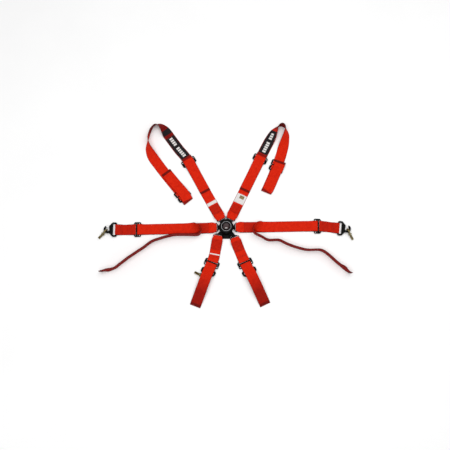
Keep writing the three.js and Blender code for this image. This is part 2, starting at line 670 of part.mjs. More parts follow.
// A shoulder belt: a short front strap from the tongue to the adjuster, and a long belt
// whose spare end lies on the front strap. Past the adjuster the long belt carries a sewn
// patch, stands up in a loop and comes back to its rear hook.
function shoulderBelt({ prefix, angle, route, adjusterAt, patch, loop, rear }) {
  straightTongue(`${prefix}_tongue`, angle);
  const front = [
    ...tongueLoop(TONGUE_BAR, TONGUE_HEIGHT, TONGUE_BAR + 76),
    [adjusterAt - 46, FIRST_LAYER], [adjusterAt - 12, FIRST_LAYER],
    ...wrap(adjusterAt + STRAP_LOOP_AHEAD, FRAME_HEIGHT, PLATE_LOOP, -90, 90),
    [adjusterAt - 4, FRAME_HEIGHT + PLATE_LOOP + 0.2], [adjusterAt - 14, SECOND_LAYER + 2],
    [adjusterAt - 42, SECOND_LAYER],
  ];
  part(`${prefix}_front_strap`, ribbon(route.stations(front)), materials.webbing);
  const foldAt = adjusterAt + FRAME_OUTER + 6;
  const long = [
    [SPARE_END_AT, SECOND_LAYER], [adjusterAt - 58, SECOND_LAYER], [adjusterAt - 44, THIRD_LAYER + 0.3],
    [adjusterAt - 13, THIRD_LAYER + 3], [adjusterAt + 3, BAR_TOP_LAYER + 2 * TIGHT_FOLD],
    ...wrap(foldAt, BAR_TOP_LAYER + TIGHT_FOLD, TIGHT_FOLD, 90, -90),
    ...wrap(adjusterAt + SLIDE_BAR_AT, FRAME_HEIGHT, BAR_LOOP, 90, 270),
    [foldAt + 8, FIRST_LAYER], ...loop.map(banked), ...rearRows(rear),
  ];
  part(`${prefix}_long_belt`, ribbon(route.stations(long, LOOP_SPACING)), materials.webbing);
  const patchRows = patch.map((row) => lifted(banked(row), PATCH_LIFT));
  part(`${prefix}_patch`, ribbon(route.stations(patchRows, LOOP_SPACING), PATCH_THICK), materials.patch);
  adjuster(prefix, route, adjusterAt + SLIDE_BAR_AT, 0);
  const dipped = new THREE.Group();
  dipped.rotation.y = degrees(REAR_DIP);
  stand(route, rear.hookAt, HOOK_BAR_HEIGHT, 180).add(dipped);
  snapHook(prefix, dipped, 1);
  threeBarSlide(`${prefix}_rear_slide`, dipped);
}

// A leg belt: a short strap from the tongue to the adjuster, then a long belt from the
// hook, round the sliding bar and back over the hook to its cut end.
function legBelt({ prefix, angle, route, tongueBarAt, adjusterAt, hookAt, shankTurn }) {
  turnedTongue(`${prefix}_tongue`, angle, route, tongueBarAt);
  const strap = [
    ...tongueLoop(tongueBarAt, TONGUE_HEIGHT, tongueBarAt + 48),
    [adjusterAt - 34, FIRST_LAYER], [adjusterAt - 12, FIRST_LAYER],
    ...wrap(adjusterAt + STRAP_LOOP_AHEAD, FRAME_HEIGHT, PLATE_LOOP, -90, 90),
    [adjusterAt - 4, FRAME_HEIGHT + PLATE_LOOP + 0.2], [adjusterAt - 14, SECOND_LAYER + 2],
    [adjusterAt - 28, SECOND_LAYER],
  ];
  part(`${prefix}_strap`, ribbon(route.stations(strap, STRAP_SPACING)), materials.webbing);
  const slideBar = adjusterAt + SLIDE_BAR_AT;
  const belt = [
    [hookAt + 176, FIRST_LAYER + 0.3], [hookAt + 136, 13], [hookAt + 100, 26], [hookAt + 70, 30],
    [hookAt + 48, RING_TOP_LAYER], [hookAt + 32, RING_TOP_LAYER], [hookAt + 20, 28], [hookAt, 18],
    [adjusterAt + 28, 12],
    ...wrap(slideBar, FRAME_HEIGHT, BAR_LOOP, 90, 270),
    [hookAt - 10, FIRST_LAYER],
    ...wrap(hookAt + 1, HOOK_BAR_HEIGHT, HOOK_LOOP, -90, 90),
    [hookAt - 8, 9], [hookAt - 14, 7.4],
  ];
  part(`${prefix}_belt`, ribbon(route.stations(belt, STRAP_SPACING)), materials.webbing);
  adjuster(prefix, route, adjusterAt + SLIDE_BAR_AT, 0);
  hookWithEyebolt(prefix, route, hookAt, 1, shankTurn);
}

lapBelt({
  prefix: 'lap_left',
  angle: LAP_LEFT_ANGLE,
  route: new Route([[0, 0], [-200, -4], [-408, -9], [-510, -10], [-580, -11]]),
  tail: new Route([
    [-165, -3], [-145, -3], [-127, -7], [-115, -20], [-122, -34], [-145, -39], [-235, -39], [-300, -55],
    [-340, -70], [-377, -98], [-435, -138], [-481, -174], [-500, -190], [-515, -196], [-538, -202],
    [-573, -207],
  ]),
  adjusterAt: 423,
  hookAt: 507,
  shankTurn: 45,
  tailSide: 1,
});

lapBelt({
  prefix: 'lap_right',
  angle: LAP_RIGHT_ANGLE,
  route: new Route([[0, 0], [200, 4], [425, 7], [520, -3], [580, -10]]),
  tail: new Route([
    [172, 4], [152, 4], [135, 0], [124, -14], [130, -30], [160, -46], [194, -63], [240, -63], [271, -78],
    [301, -90], [340, -103], [378, -109], [428, -109], [463, -130], [501, -166], [532, -190], [551, -208],
    [567, -214],
  ]),
  adjusterAt: 435,
  hookAt: 517,
  shankTurn: -55,
  tailSide: -1,
});

shoulderBelt({
  prefix: 'shoulder_left',
  angle: SHOULDER_LEFT_ANGLE,
  route: new Route([
    [0, 0], [-90, 160], [-178, 322], [-228, 388], [-269, 445], [-297, 484], [-322, 503], [-345, 497],
    [-362, 467], [-371, 430], [-371, 396], [-352, 350], [-322, 309], [-293, 270], [-235, 197], [-172, 120],
  ]),
  adjusterAt: 352,
  patch: [[393, 0], [528, 0]],
  loop: [[535, 0], [569, 35], [600, 60], [624, 78], [659, 90], [697, 90], [731, 65], [781, 25], [825, 0]],
  rear: {
    hookAt: 1048, slack: 22, slackTop: [], tailShift: 7, tail: [[53, 12.3], [75, 7.6], [105, 4], [162, 3.7]],
  },
});

shoulderBelt({
  prefix: 'shoulder_right',
  angle: SHOULDER_RIGHT_ANGLE,
  route: new Route([
    [0, 0], [81, 169], [163, 340], [203, 420], [233, 474], [250, 496], [270, 500], [284, 486], [287, 462],
    [281, 428], [269, 384], [254, 335], [221, 250], [184, 165],
  ]),
  adjusterAt: 358,
  patch: [[400, 0], [455, 0], [500, -25], [528, -50]],
  loop: [
    [455, 0], [500, -25], [528, -50], [556, -80], [576, -90], [596, -85], [620, -60], [655, -38], [690, -14],
    [712, 0],
  ],
  rear: {
    hookAt: 818, slack: 115, slackTop: [[96, 4], [24, 4.4]], tailShift: 9, tail: [[52, 12.3]],
  },
});

legBelt({
  prefix: 'leg_left',
  angle: LEG_LEFT_ANGLE,
  route: new Route([[-31, -4], [-39, -47], [-47, -92], [-58, -146], [-82, -208], [-111, -287], [-140, -362]]),
  tongueBarAt: 40,
  adjusterAt: 154,
  hookAt: 200,
  shankTurn: -95,
});

legBelt({
  prefix: 'leg_right',
  angle: LEG_RIGHT_ANGLE,
  route: new Route([[25, -15], [54, -90], [84, -162], [110, -217], [142, -285], [174, -353]]),
  tongueBarAt: 40,
  adjusterAt: 150,
  hookAt: 197,
  shankTurn: -20,
});

export default harness;
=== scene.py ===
"""A six-point racing harness laid out flat: its webbing, stitching, labels and metalwork."""
import bisect
import json
import math

import bmesh
import bpy
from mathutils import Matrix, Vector


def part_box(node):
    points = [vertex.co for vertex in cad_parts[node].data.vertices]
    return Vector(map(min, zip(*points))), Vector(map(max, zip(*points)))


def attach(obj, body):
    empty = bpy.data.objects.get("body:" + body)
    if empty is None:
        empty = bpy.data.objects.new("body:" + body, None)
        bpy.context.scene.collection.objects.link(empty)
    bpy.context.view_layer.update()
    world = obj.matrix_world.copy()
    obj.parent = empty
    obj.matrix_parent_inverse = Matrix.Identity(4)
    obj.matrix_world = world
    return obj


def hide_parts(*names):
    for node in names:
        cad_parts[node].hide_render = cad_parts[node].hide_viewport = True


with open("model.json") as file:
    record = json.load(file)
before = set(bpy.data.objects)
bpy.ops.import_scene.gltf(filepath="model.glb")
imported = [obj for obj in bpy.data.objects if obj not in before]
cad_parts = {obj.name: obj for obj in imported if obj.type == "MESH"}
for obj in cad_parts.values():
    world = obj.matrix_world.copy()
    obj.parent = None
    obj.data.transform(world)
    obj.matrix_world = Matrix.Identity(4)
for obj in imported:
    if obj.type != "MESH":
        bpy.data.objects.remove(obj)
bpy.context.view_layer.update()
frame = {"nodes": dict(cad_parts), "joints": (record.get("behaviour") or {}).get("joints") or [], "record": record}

# ------------------------------------------------------------------ driving sizes, in millimetres

MM = 0.001

WEB_WIDTH = 50
WEB_THICK = 1.7
FIRST_LAYER = 1.3
SECOND_LAYER = 3.6
THIRD_LAYER = 5.9
STATION_SPACING = 3.0
WRAP_STEPS = 12
SMOOTHING_PASSES = 5
RIPPLE = 0.22
RIPPLE_LENGTH = 61
STRIP_COLUMNS = 9
STRIP_ROUNDING = 0.7
UV_MM = 100.0

TWILL_COLUMN = 3.6
TWILL_PITCH = 1.9
TWILL_SLANT = 1.1
WARP_PITCH = 1.2
# Widths of the painted shade along the webbing's edges, and how fast painted shade rises at a crease:
EDGE_SHADE_BAND = 2.4
SELVAGE_SHADE_WIDTH = 0.9
CREASE_SHADE_RISE = 2.0

TONGUE_HEIGHT = 10.5
TONGUE_BAR = 49
EYE_WEB_WIDTH = 37
EYE_CORNER = ((2, 41), (5, 45), (9, 48), (14, 49.6))
EYE_REACH = 36
SEWN_END = 5
SEWN_RUNOUT = 16
PLATE_LOOP = 3.5

FRAME_HEIGHT = 5.7
FRAME_OUTER = 30
SLIDE_BAR_AT = 17.5
STRAP_LOOP_AHEAD = 1.7
BAR_LOOP = 4.4
BAR_TOP_LAYER = FRAME_HEIGHT + BAR_LOOP
BAR_RADIUS = 3
BAR_LENGTH = 62.6
BAR_CHAMFER = 0.6
GRIP_MARGIN = 5
GRIP_PITCH = 1.6
GRIP_DEPTH = 0.28
GRIP_STARTS = 10

HOOK_BAR_HEIGHT = 6.5
HOOK_LOOP = 4.1
RING_RADIUS = 11
RING_WIRE = 3.5
RING_TOP_LAYER = 31.3
THREAD_START = 20
THREAD_END = 43.2
THREAD_STEP = 0.16
THREAD_RADIUS = 5.5
THREAD_DEPTH = 0.75
THREAD_PITCH = 1.27

TIGHT_FOLD = 1.7
SLACK_FOLD = 3
REAR_DIP = 4.1
SPARE_END_AT = 196

STITCH_PITCH = 3.3
STITCH_LENGTH = 2.5
STITCH_RADIUS = 0.42
STITCH_SECTION = ((-1, -0.6), (1, -0.6), (0.55, 0.8), (-0.55, 0.8))
STITCH_END_SIZE = 0.45
STITCH_ARCH = 0.3
SEAM_INSET = 4
LABEL_THICK = 0.35
PATCH_THICK = 0.8
PRINT_THICK = 0.12
LABEL_INSET = 1.6
PATCH_INSET = 1
BLOCK_LENGTH = 8.5
BLOCK_GAP = 3.2
BLOCK_LEFT_OUT = 6
HEM_INSET = 0.5


# ------------------------------------------------------------------ materials

class Shader:
    """A material's nodes, added one at a time."""

    def __init__(self, name, roughness=0.5, metallic=0.0):
        self.material = bpy.data.materials.new(name)
        self.material.use_nodes = True
        self.tree = self.material.node_tree
        self.surface = self.tree.nodes["Principled BSDF"]
        self.surface.inputs["Roughness"].default_value = roughness
        self.surface.inputs["Metallic"].default_value = metallic

    def node(self, kind, **inputs):
        node = self.tree.nodes.new(kind)
        for name, value in inputs.items():
            self.feed(node.inputs[name.replace("_", " ")], value)
        return node

    def feed(self, socket, value):
        if isinstance(value, bpy.types.NodeSocket):
            self.tree.links.new(value, socket)
        else:
            socket.default_value = value

    def math(self, operation, first, second=0.0, clamp=False):
        node = self.tree.nodes.new("ShaderNodeMath")
        node.operation = operation
        node.use_clamp = clamp
        self.feed(node.inputs[0], first)
        self.feed(node.inputs[1], second)
        return node.outputs[0]

    def ramp(self, factor, stops):
        node = self.tree.nodes.new("ShaderNodeValToRGB")
        stops = list(stops)
        elements = node.color_ramp.elements
        while len(elements) < len(stops):
            elements.new(0.5)
        for element, (position, colour) in zip(elements, stops):
            element.position = position
            element.color = (*colour, 1)
        self.feed(node.inputs[0], factor)
        return node.outputs[0]

    def mix(self, factor, first, second):
        """The first colour where the factor is 0, the second where it is 1."""
        node = self.tree.nodes.new("ShaderNodeMix")
        node.data_type = "RGBA"
        for socket, value in zip((node.inputs[0], node.inputs[6], node.inputs[7]), (factor, first, second)):
            self.feed(socket, value)
        return node.outputs[2]

    def noise(self, scale, detail=3.0, vector=None):
        node = self.node("ShaderNodeTexNoise", Scale=scale, Detail=detail)
        if vector is None:
            vector = self.node("ShaderNodeTexCoord").outputs["Object"]
        self.feed(node.inputs["Vector"], vector)
        return node.outputs["Fac"]

    def bump(self, height, strength, distance_mm):
        node = self.node("ShaderNodeBump", Strength=strength, Distance=distance_mm * MM, Height=height)
        self.feed(self.surface.inputs["Normal"], node.outputs[0])

    def set(self, name, value):
        self.feed(self.surface.inputs[name], value)


def along_and_across(shader):
    """The millimetres across and along a strip, from its UV map."""
    uv = shader.node("ShaderNodeUVMap").outputs[0]
    parts = shader.node("ShaderNodeSeparateXYZ", Vector=uv)
    across = shader.math("MULTIPLY", parts.outputs[0], UV_MM)
    along = shader.math("MULTIPLY", parts.outputs[1], UV_MM)
    return uv, across, along


def webbing_material(name, dark, middle, light, shade_ramps=(), crease_shades=()):
    """Herringbone polyester webbing: twill lines that turn round at each column, over warp yarns. Painted shade, a
    deeper red, darkens its edges, each shade ramp and each crease."""
    shader = Shader(name, roughness=0.62)
    uv, across, along = along_and_across(shader)
    column = shader.math("PINGPONG", shader.math("ADD", across, float(WEB_WIDTH)), TWILL_COLUMN)
    slant = shader.math("ADD", along, shader.math("MULTIPLY", column, TWILL_SLANT))
    twill = shader.math("SINE", shader.math("MULTIPLY", slant, 2 * math.pi / TWILL_PITCH))
    warp = shader.math("SINE", shader.math("MULTIPLY", across, 2 * math.pi / WARP_PITCH))
    weave = shader.math("ADD", shader.math("MULTIPLY", twill, 0.32), shader.math("MULTIPLY", warp, 0.18))
    height = shader.math("ADD", weave, 0.5)
    from_middle = shader.math("ABSOLUTE", across)
    # Painted shade along the edges: a lower tone near each edge, and the shade colour on the outermost line.
    edge_shade = shader.math("GREATER_THAN", from_middle, WEB_WIDTH / 2 - EDGE_SHADE_BAND)
    cloudy = shader.noise(7.0, 4.0, uv)
    tone = shader.math("ADD", shader.math("MULTIPLY", height, 0.55), shader.math("MULTIPLY", cloudy, 0.55))
    tone = shader.math("SUBTRACT", tone, shader.math("MULTIPLY", edge_shade, 0.1))
    colour = shader.ramp(tone, zip(DYE_STOPS, (dark, middle, light)))
    # The colour of the painted shade.
    shade_colour = shader.ramp(tone, zip(DYE_STOPS, PAINTED_SHADE_RED))
    depth = shader.math("GREATER_THAN", from_middle, WEB_WIDTH / 2 - SELVAGE_SHADE_WIDTH)
    for start, end, share in shade_ramps:
        past = shader.math("SUBTRACT", along, start)
        reached = shader.math("DIVIDE", past, end - start, clamp=True)
        depth = shader.math("MAXIMUM", depth, shader.math("MULTIPLY", reached, share))
    for place, reach, share in crease_shades:
        away = shader.math("ABSOLUTE", shader.math("SUBTRACT", along, place))
        near = shader.math("SUBTRACT", 1.0, shader.math("DIVIDE", away, reach), clamp=True)
        near = shader.math("MINIMUM", shader.math("MULTIPLY", near, CREASE_SHADE_RISE), share)
        depth = shader.math("MAXIMUM", depth, near)
    # Mix in the painted shade by its mask.
    shader.set("Base Color", shader.mix(depth, colour, shade_colour))
    shader.set("Roughness", shader.math("SUBTRACT", 0.9, shader.math("MULTIPLY", height, 0.2)))
    shader.set("Specular IOR Level", 0.08)
    shader.bump(height, 0.55, 0.35)
    return shader.material


def plain_weave_material(name, low, high, pitch, roughness, sheen):
    """A fine plain weave, for patches, labels and printed marks."""
    shader = Shader(name, roughness=roughness)
    uv, across, along = along_and_across(shader)
    weft = shader.math("SINE", shader.math("MULTIPLY", along, 2 * math.pi / pitch))
    warp = shader.math("SINE", shader.math("MULTIPLY", across, 2 * math.pi / pitch))
    height = shader.math("ADD", shader.math("MULTIPLY", shader.math("MULTIPLY", weft, warp), 0.4), 0.5)
    tone = shader.math("MULTIPLY", shader.math("ADD", height, shader.noise(9.0, 4.0, uv)), 0.5)
    shader.set("Base Color", shader.ramp(tone, [(0.2, low), (0.8, high)]))
    shader.set("Specular IOR Level", 0.25)
    shader.set("Sheen Weight", sheen)
    shader.bump(height, 0.4, 0.2)
    return shader.material


def thread_material(name, low, high):
    shader = Shader(name, roughness=0.55)
    shader.set("Base Color", shader.ramp(shader.noise(900.0, 2.0), [(0.3, low), (0.7, high)]))
    shader.set("Specular IOR Level", 0.25)
    shader.bump(shader.noise(4000.0, 1.0), 0.3, 0.1)
    return shader.material


def metal_material(name, stops, scale, roughness, metallic, grain, grain_mm, worn=None,
                   specular=0.5):
    """Coated or plated metal: uneven tone, fine grain, and scuffs where a worn colour is given."""
    shader = Shader(name, roughness=roughness, metallic=metallic)
    shader.set("Specular IOR Level", specular)
    colour = shader.ramp(shader.noise(scale, 5.0), stops)
    if worn:
        scuffs = shader.ramp(shader.noise(scale * 6, 8.0), [(0.66, (0, 0, 0)), (0.74, (1, 1, 1))])
        colour = shader.mix(scuffs, colour, (*worn, 1))
    shader.set("Base Color", colour)
    rough = shader.math("MULTIPLY", shader.noise(scale * 3, 4.0), 0.3)
    shader.set("Roughness", shader.math("ADD", rough, roughness - 0.15))
    shader.bump(shader.noise(grain, 3.0), 0.25, grain_mm)
    return shader.material


RED_DYE = ((0.34, 0.006, 0.001), (0.62, 0.014, 0.002), (0.78, 0.028, 0.005))
# A darker copy of the webbing's red: painted shade on the anchor straps and the sewn tongue patches.
SHADED_RED = ((0.24, 0.005, 0.001), (0.46, 0.01, 0.002), (0.62, 0.02, 0.005))
# Darker still: painted shade on the turned-over ends.
HEM_SHADE_RED = ((0.05, 0.003, 0.002), (0.14, 0.005, 0.003), (0.22, 0.008, 0.004))
# The deep red that paints shade on webbing.
PAINTED_SHADE_RED = ((0.035, 0.001, 0.001), (0.12, 0.003, 0.003), (0.21, 0.007, 0.006))
DYE_STOPS = (0.1, 0.5, 0.9)

MATERIALS = {
    "webbing": webbing_material("webbing", *RED_DYE),
    "webbing_shaded": webbing_material("webbing_shaded", *SHADED_RED),
    "webbing_hem_shade": webbing_material("webbing_hem_shade", *HEM_SHADE_RED),
    "patch": plain_weave_material(
        "patch", low=(0.003, 0.002, 0.003), high=(0.012, 0.008, 0.01), pitch=0.9, roughness=0.8, sheen=0.0,
    ),
    "label": plain_weave_material(
        "label", low=(0.6, 0.58, 0.56), high=(0.82, 0.8, 0.78), pitch=0.7, roughness=0.6, sheen=0.1,
    ),
    "foil": metal_material(
        "foil", stops=[(0.35, (0.02, 0.02, 0.015)), (0.65, (0.2, 0.14, 0.04))], scale=90.0,
        roughness=0.4, metallic=0.3, grain=900.0, grain_mm=0.05,
    ),
    "thread": thread_material("thread", (0.2, 0.005, 0.002), (0.4, 0.012, 0.005)),
    "dark_thread": thread_material("dark_thread", (0.12, 0.004, 0.003), (0.28, 0.008, 0.004)),
    "black_steel": metal_material(
        "black_steel", stops=[(0.3, (0.002, 0.002, 0.002)), (0.7, (0.006, 0.006, 0.006))], scale=60.0,
        roughness=0.6, metallic=0.0, grain=2400.0, grain_mm=0.08, worn=(0.014, 0.014, 0.015), specular=0.05,
    ),
    "black_housing": metal_material(
        "black_housing", stops=[(0.3, (0.002, 0.002, 0.002)), (0.7, (0.005, 0.005, 0.005))], scale=80.0,
        roughness=0.55, metallic=0.0, grain=3200.0, grain_mm=0.05, worn=(0.012, 0.012, 0.013), specular=0.05,
    ),
    "plain_steel": metal_material(
        "plain_steel", stops=[(0.3, (0.42, 0.42, 0.41)), (0.7, (0.66, 0.66, 0.65))], scale=120.0,
        roughness=0.34, metallic=1.0, grain=1800.0, grain_mm=0.04,
    ),
    # The knob ring's grey: painted highlight.
    "ring_highlight_grey": metal_material(
        "ring_highlight_grey", stops=[(0.3, (0.2, 0.2, 0.21)), (0.7, (0.34, 0.34, 0.35))], scale=140.0,
        roughness=0.45, metallic=0.5, grain=2200.0, grain_mm=0.04,
    ),
    "zinc_steel": metal_material(
        "zinc_steel",
        stops=[(0.25, (0.09, 0.07, 0.03)), (0.5, (0.26, 0.21, 0.09)), (0.75, (0.4, 0.36, 0.24))],
        scale=70.0, roughness=0.32, metallic=1.0, grain=1500.0, grain_mm=0.05, worn=(0.3, 0.29, 0.27),
    ),
    "cap": metal_material(
        "cap", stops=[(0.3, (0.006, 0.001, 0.002)), (0.7, (0.03, 0.003, 0.005))], scale=160.0,
        roughness=0.4, metallic=0.0, grain=1200.0, grain_mm=0.03, specular=0.3,
    ),
    "floor": metal_material(
        "floor", stops=[(0.3, (0.96, 0.96, 0.96)), (0.7, (0.985, 0.985, 0.985))], scale=3.0,
        roughness=0.85, metallic=0.0, grain=300.0, grain_mm=0.05,
    ),
}


# ------------------------------------------------------------------ pieces

FLAT_DEGREES = 1
BEVEL_DEGREES = 38
SHARP_DEGREES = 42


def piece(name, mesh, material, body, replaces=()):
    """A finished object that rides on its body and stands for the CAD nodes it replaces."""
    made = bpy.data.objects.new(name, mesh)
    bpy.context.scene.collection.objects.link(made)
    if not mesh.materials:
        mesh.materials.append(MATERIALS[material])
    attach(made, body)
    if replaces:
        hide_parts(*replaces)
    return made


def mesh_from(name, points, faces, uvs=None, sharp_degrees=40):
    """A smooth-shaded mesh from points in millimetres."""
    mesh = bpy.data.meshes.new(name)
    mesh.from_pydata([Vector(point) * MM for point in points], [], faces)
    if uvs:
        layer = mesh.uv_layers.new(name="strip")
        for loop in mesh.loops:
            layer.data[loop.index].uv = uvs[loop.vertex_index]
    turned = bmesh.new()
    turned.from_mesh(mesh)
    bmesh.ops.recalc_face_normals(turned, faces=turned.faces)
    turned.to_mesh(mesh)
    turned.free()
    for polygon in mesh.polygons:
        polygon.use_smooth = True
    mesh.set_sharp_from_angle(angle=math.radians(sharp_degrees))
    return mesh


def rings(rows, around, closed_ends=True):
    """Faces that join rings of points, with an end face on the first and last."""
    faces = []
    for row in range(rows - 1):
        for step in range(around):
            here = row * around + step
            beside = row * around + (step + 1) % around
            faces.append((here, beside, beside + around, here + around))
    if closed_ends:
        faces.append(tuple(range(around)))
        faces.append(tuple(range((rows - 1) * around, rows * around)))
    return faces


def refined(node, material, edge_mm, segments=2):
    """The CAD node's own shape with its sharp edges rounded."""
    made = bpy.data.objects.new(f"{node}_finish", frame["nodes"][node].data.copy())
    bpy.context.scene.collection.objects.link(made)
    cleaned = bmesh.new()
    cleaned.from_mesh(made.data)
    bmesh.ops.remove_doubles(cleaned, verts=cleaned.verts, dist=1e-6)
    bmesh.ops.dissolve_limit(
        cleaned, angle_limit=math.radians(FLAT_DEGREES), verts=cleaned.verts, edges=cleaned.edges,
    )
    cleaned.to_mesh(made.data)
    cleaned.free()
    bevel = made.modifiers.new("edges", "BEVEL")
    bevel.width = edge_mm * MM
    bevel.segments = segments
    bevel.limit_method = "ANGLE"
    bevel.angle_limit = math.radians(BEVEL_DEGREES)
    bevel.use_clamp_overlap = True
    shape = bpy.data.meshes.new_from_object(made.evaluated_get(bpy.context.evaluated_depsgraph_get()))
    bpy.data.objects.remove(made)
    shape.materials.clear()
    for polygon in shape.polygons:
        polygon.use_smooth = True
    shape.set_sharp_from_angle(angle=math.radians(SHARP_DEGREES))
    return piece(f"{node}_finish", shape, material, body_of(node), replaces=[node])


def body_of(node):
    bodies = frame["record"]["behaviour"]["bodies"]
    return next(body for body, nodes in bodies.items() if node in nodes)


# ------------------------------------------------------------------ belt routes

class Route:
    """The line in plan along which one belt lies, measured outwards from the buckle."""

    STEPS = 60

    def __init__(self, corners):
        points = [Vector((x, y)) for x, y in corners]
        ends = [2 * points[0] - points[1], *points, 2 * points[-1] - points[-2]]
        self.places = []
        for before, start, end, after in zip(ends, ends[1:], ends[2:], ends[3:]):
            leave = (end - before) / 2
            arrive = (after - start) / 2
            for step in range(self.STEPS):
                t = step / self.STEPS
                self.places.append(
                    start * (2 * t ** 3 - 3 * t ** 2 + 1) + leave * (t ** 3 - 2 * t ** 2 + t)
                    + end * (3 * t ** 2 - 2 * t ** 3) + arrive * (t ** 3 - t ** 2)
                )
        self.places.append(points[-1])
        self.marks = [0.0]
        for start, end in zip(self.places, self.places[1:]):
            self.marks.append(self.marks[-1] + (end - start).length)
        self.length = self.marks[-1]

    def place(self, distance):
        index = min(max(bisect.bisect(self.marks, distance) - 1, 0), len(self.places) - 2)
        span = self.marks[index + 1] - self.marks[index]
        part = (distance - self.marks[index]) / span
        return self.places[index].lerp(self.places[index + 1], part)

    def left(self, distance):
        forward = (self.place(distance + 2) - self.place(distance - 2)).normalized()
        return Vector((-forward.y, forward.x))

    def stations(self, rows):
        """Closely spaced stations through the rows, with the bends between flat rows eased."""
        full = [(list(row) + [0, 0, WEB_WIDTH, 0][len(row) - 2:]) for row in rows]
        values = [full[0]]
        for before, row in zip(full, full[1:]):
            parts = max(1, round(abs(row[0] - before[0]) / STATION_SPACING))
            for part in range(1, parts + 1):
                mixed = [a + (b - a) * part / parts for a, b in zip(before, row)]
                mixed[5] = min(before[5], row[5]) if part < parts else row[5]
                values.append(mixed)
        for _ in range(SMOOTHING_PASSES):
            values = [values[0], *map(eased, values, values[1:], values[2:]), values[-1]]
        return [self.station(value) for value in values]

    def station(self, value):
        distance, height, shift, tilt, width, _ = value
        left = self.left(distance)
        place = self.place(distance) + left * shift
        lean = math.radians(tilt)
        across = Vector((left.x * math.cos(lean), left.y * math.cos(lean), math.sin(lean)))
        return {"place": Vector((place.x, place.y, height)), "across": across, "width": width, "at": distance}


def eased(before, here, after):
    """A row pulled towards its neighbours, unless it holds webbing round a bar."""
    if here[5] or before[5] or after[5]:
        return here
    return [here[0], *((a + 2 * b + c) / 4 for a, b, c in zip(before[1:5], here[1:5], after[1:5])), here[5]]


def wrap(at, height, radius, start, end, width=WEB_WIDTH):
    """Rows that take webbing round a bar, between two angles in the belt's side view."""
    rows = []
    for step in range(WRAP_STEPS + 1):
        angle = math.radians(start + (end - start) * step / WRAP_STEPS)
        rows.append((at + radius * math.cos(angle), height + radius * math.sin(angle), 0, 0, width, 1))
    return rows


# ------------------------------------------------------------------ webbing

class Ribbon:
    """A strip of webbing, and the places on its two faces."""

    def __init__(self, stations):
        self.stations = stations
        places = [station["place"] for station in stations]
        self.sides = []
        self.normals = []
        self.marks = [0.0]
        for index, station in enumerate(stations):
            into = (places[index] - places[max(index - 1, 0)]).normalized()
            out = (places[min(index + 1, len(places) - 1)] - places[index]).normalized()
            tangent = (into + out).normalized()
            across = station["across"]
            side = (across - tangent * across.dot(tangent)).normalized()
            self.sides.append(side)
            self.normals.append(tangent.cross(side))
            if index:
                self.marks.append(self.marks[-1] + (places[index] - places[index - 1]).length)
        self.length = self.marks[-1]

    def point(self, mark, across, lift):
        """A point so far along, so far across, and so far off the middle of the webbing."""
        index = min(max(bisect.bisect(self.marks, mark) - 1, 0), len(self.marks) - 2)
        part = (mark - self.marks[index]) / (self.marks[index + 1] - self.marks[index])
        part = min(max(part, 0.0), 1.0)
        place = self.stations[index]["place"].lerp(self.stations[index + 1]["place"], part)
        side = self.sides[index].lerp(self.sides[index + 1], part).normalized()
        normal = self.normals[index].lerp(self.normals[index + 1], part).normalized()
        ripple = RIPPLE * math.sin(mark * 2 * math.pi / RIPPLE_LENGTH) * (2 * across / WEB_WIDTH) ** 2
        return place + side * across + normal * (lift + ripple)

    def width(self, mark):
        index = min(max(bisect.bisect(self.marks, mark) - 1, 0), len(self.marks) - 1)
        return self.stations[index]["width"]

    def mark(self, run, distance):
        """How far along the webbing is at a distance on the route, in its first, second, ... run."""
        runs = [[0]]
        heading = 0
        for index in range(1, len(self.stations)):
            step = self.stations[index]["at"] - self.stations[index - 1]["at"]
            if heading * step < 0:
                runs.append([index - 1])
            heading = step or heading
            runs[-1].append(index)
        chosen = runs[run]
        nearest = min(chosen, key=lambda index: abs(self.stations[index]["at"] - distance))
        return self.marks[nearest]

    def upper(self, mark):
        """The face that looks up there: 1 or -1."""
        index = min(bisect.bisect(self.marks, mark), len(self.marks) - 1)
        return 1 if self.normals[index].z > 0 else -1

    def strip(self, name, start, end, low, high, bottom, top):
        """A closed strip on the ribbon's own measures, with rounded edges. Low and high are
        millimetres across, or None for the webbing's own edges."""
        marks = sorted({start, end, *(mark for mark in self.marks if start < mark < end)})
        points = []
        uvs = []
        rounding = min(STRIP_ROUNDING, abs(top - bottom) / 2)
        middle = (top + bottom) / 2
        for mark in marks:
            half = self.width(mark) / 2
            left = -half if low is None else max(low, -half)
            right = half if high is None else min(high, half)
            span = right - left - 2 * rounding
            inner = [left + rounding + span * step / (STRIP_COLUMNS - 1) for step in range(STRIP_COLUMNS)]
            ring = [(left, middle), *((x, top) for x in inner), (right, middle)]
            ring += [(x, bottom) for x in reversed(inner)]
            for across, lift in ring:
                points.append(self.point(mark, across, lift))
                uvs.append((across / UV_MM, mark / UV_MM))
        around = 2 * STRIP_COLUMNS + 2
        return mesh_from(name, points, rings(len(marks), around), uvs)


def webbing(node, stations, body, material="webbing", shade_ramps=(), crease_shades=()):
    """One length of webbing in place of its CAD node. A ramp of painted shade is given by its first and last
    stations and its share of the shade colour, a crease's painted shade by its station, its reach and its share."""
    ribbon = Ribbon(stations)
    if shade_ramps or crease_shades:
        # A copy of the webbing material with this belt's painted shade.
        material = f"{node}_dye_and_painted_shade"
        MATERIALS[material] = webbing_material(
            material, *RED_DYE,
            [(ribbon.marks[start], ribbon.marks[end], share) for start, end, share in shade_ramps],
            [(ribbon.marks[place], reach, share) for place, reach, share in crease_shades],
        )
    mesh = ribbon.strip(f"{node}_web", 0, ribbon.length, None, None, -WEB_THICK / 2, WEB_THICK / 2)
    made = piece(f"{node}_web", mesh, material, body, replaces=[node])
    return ribbon


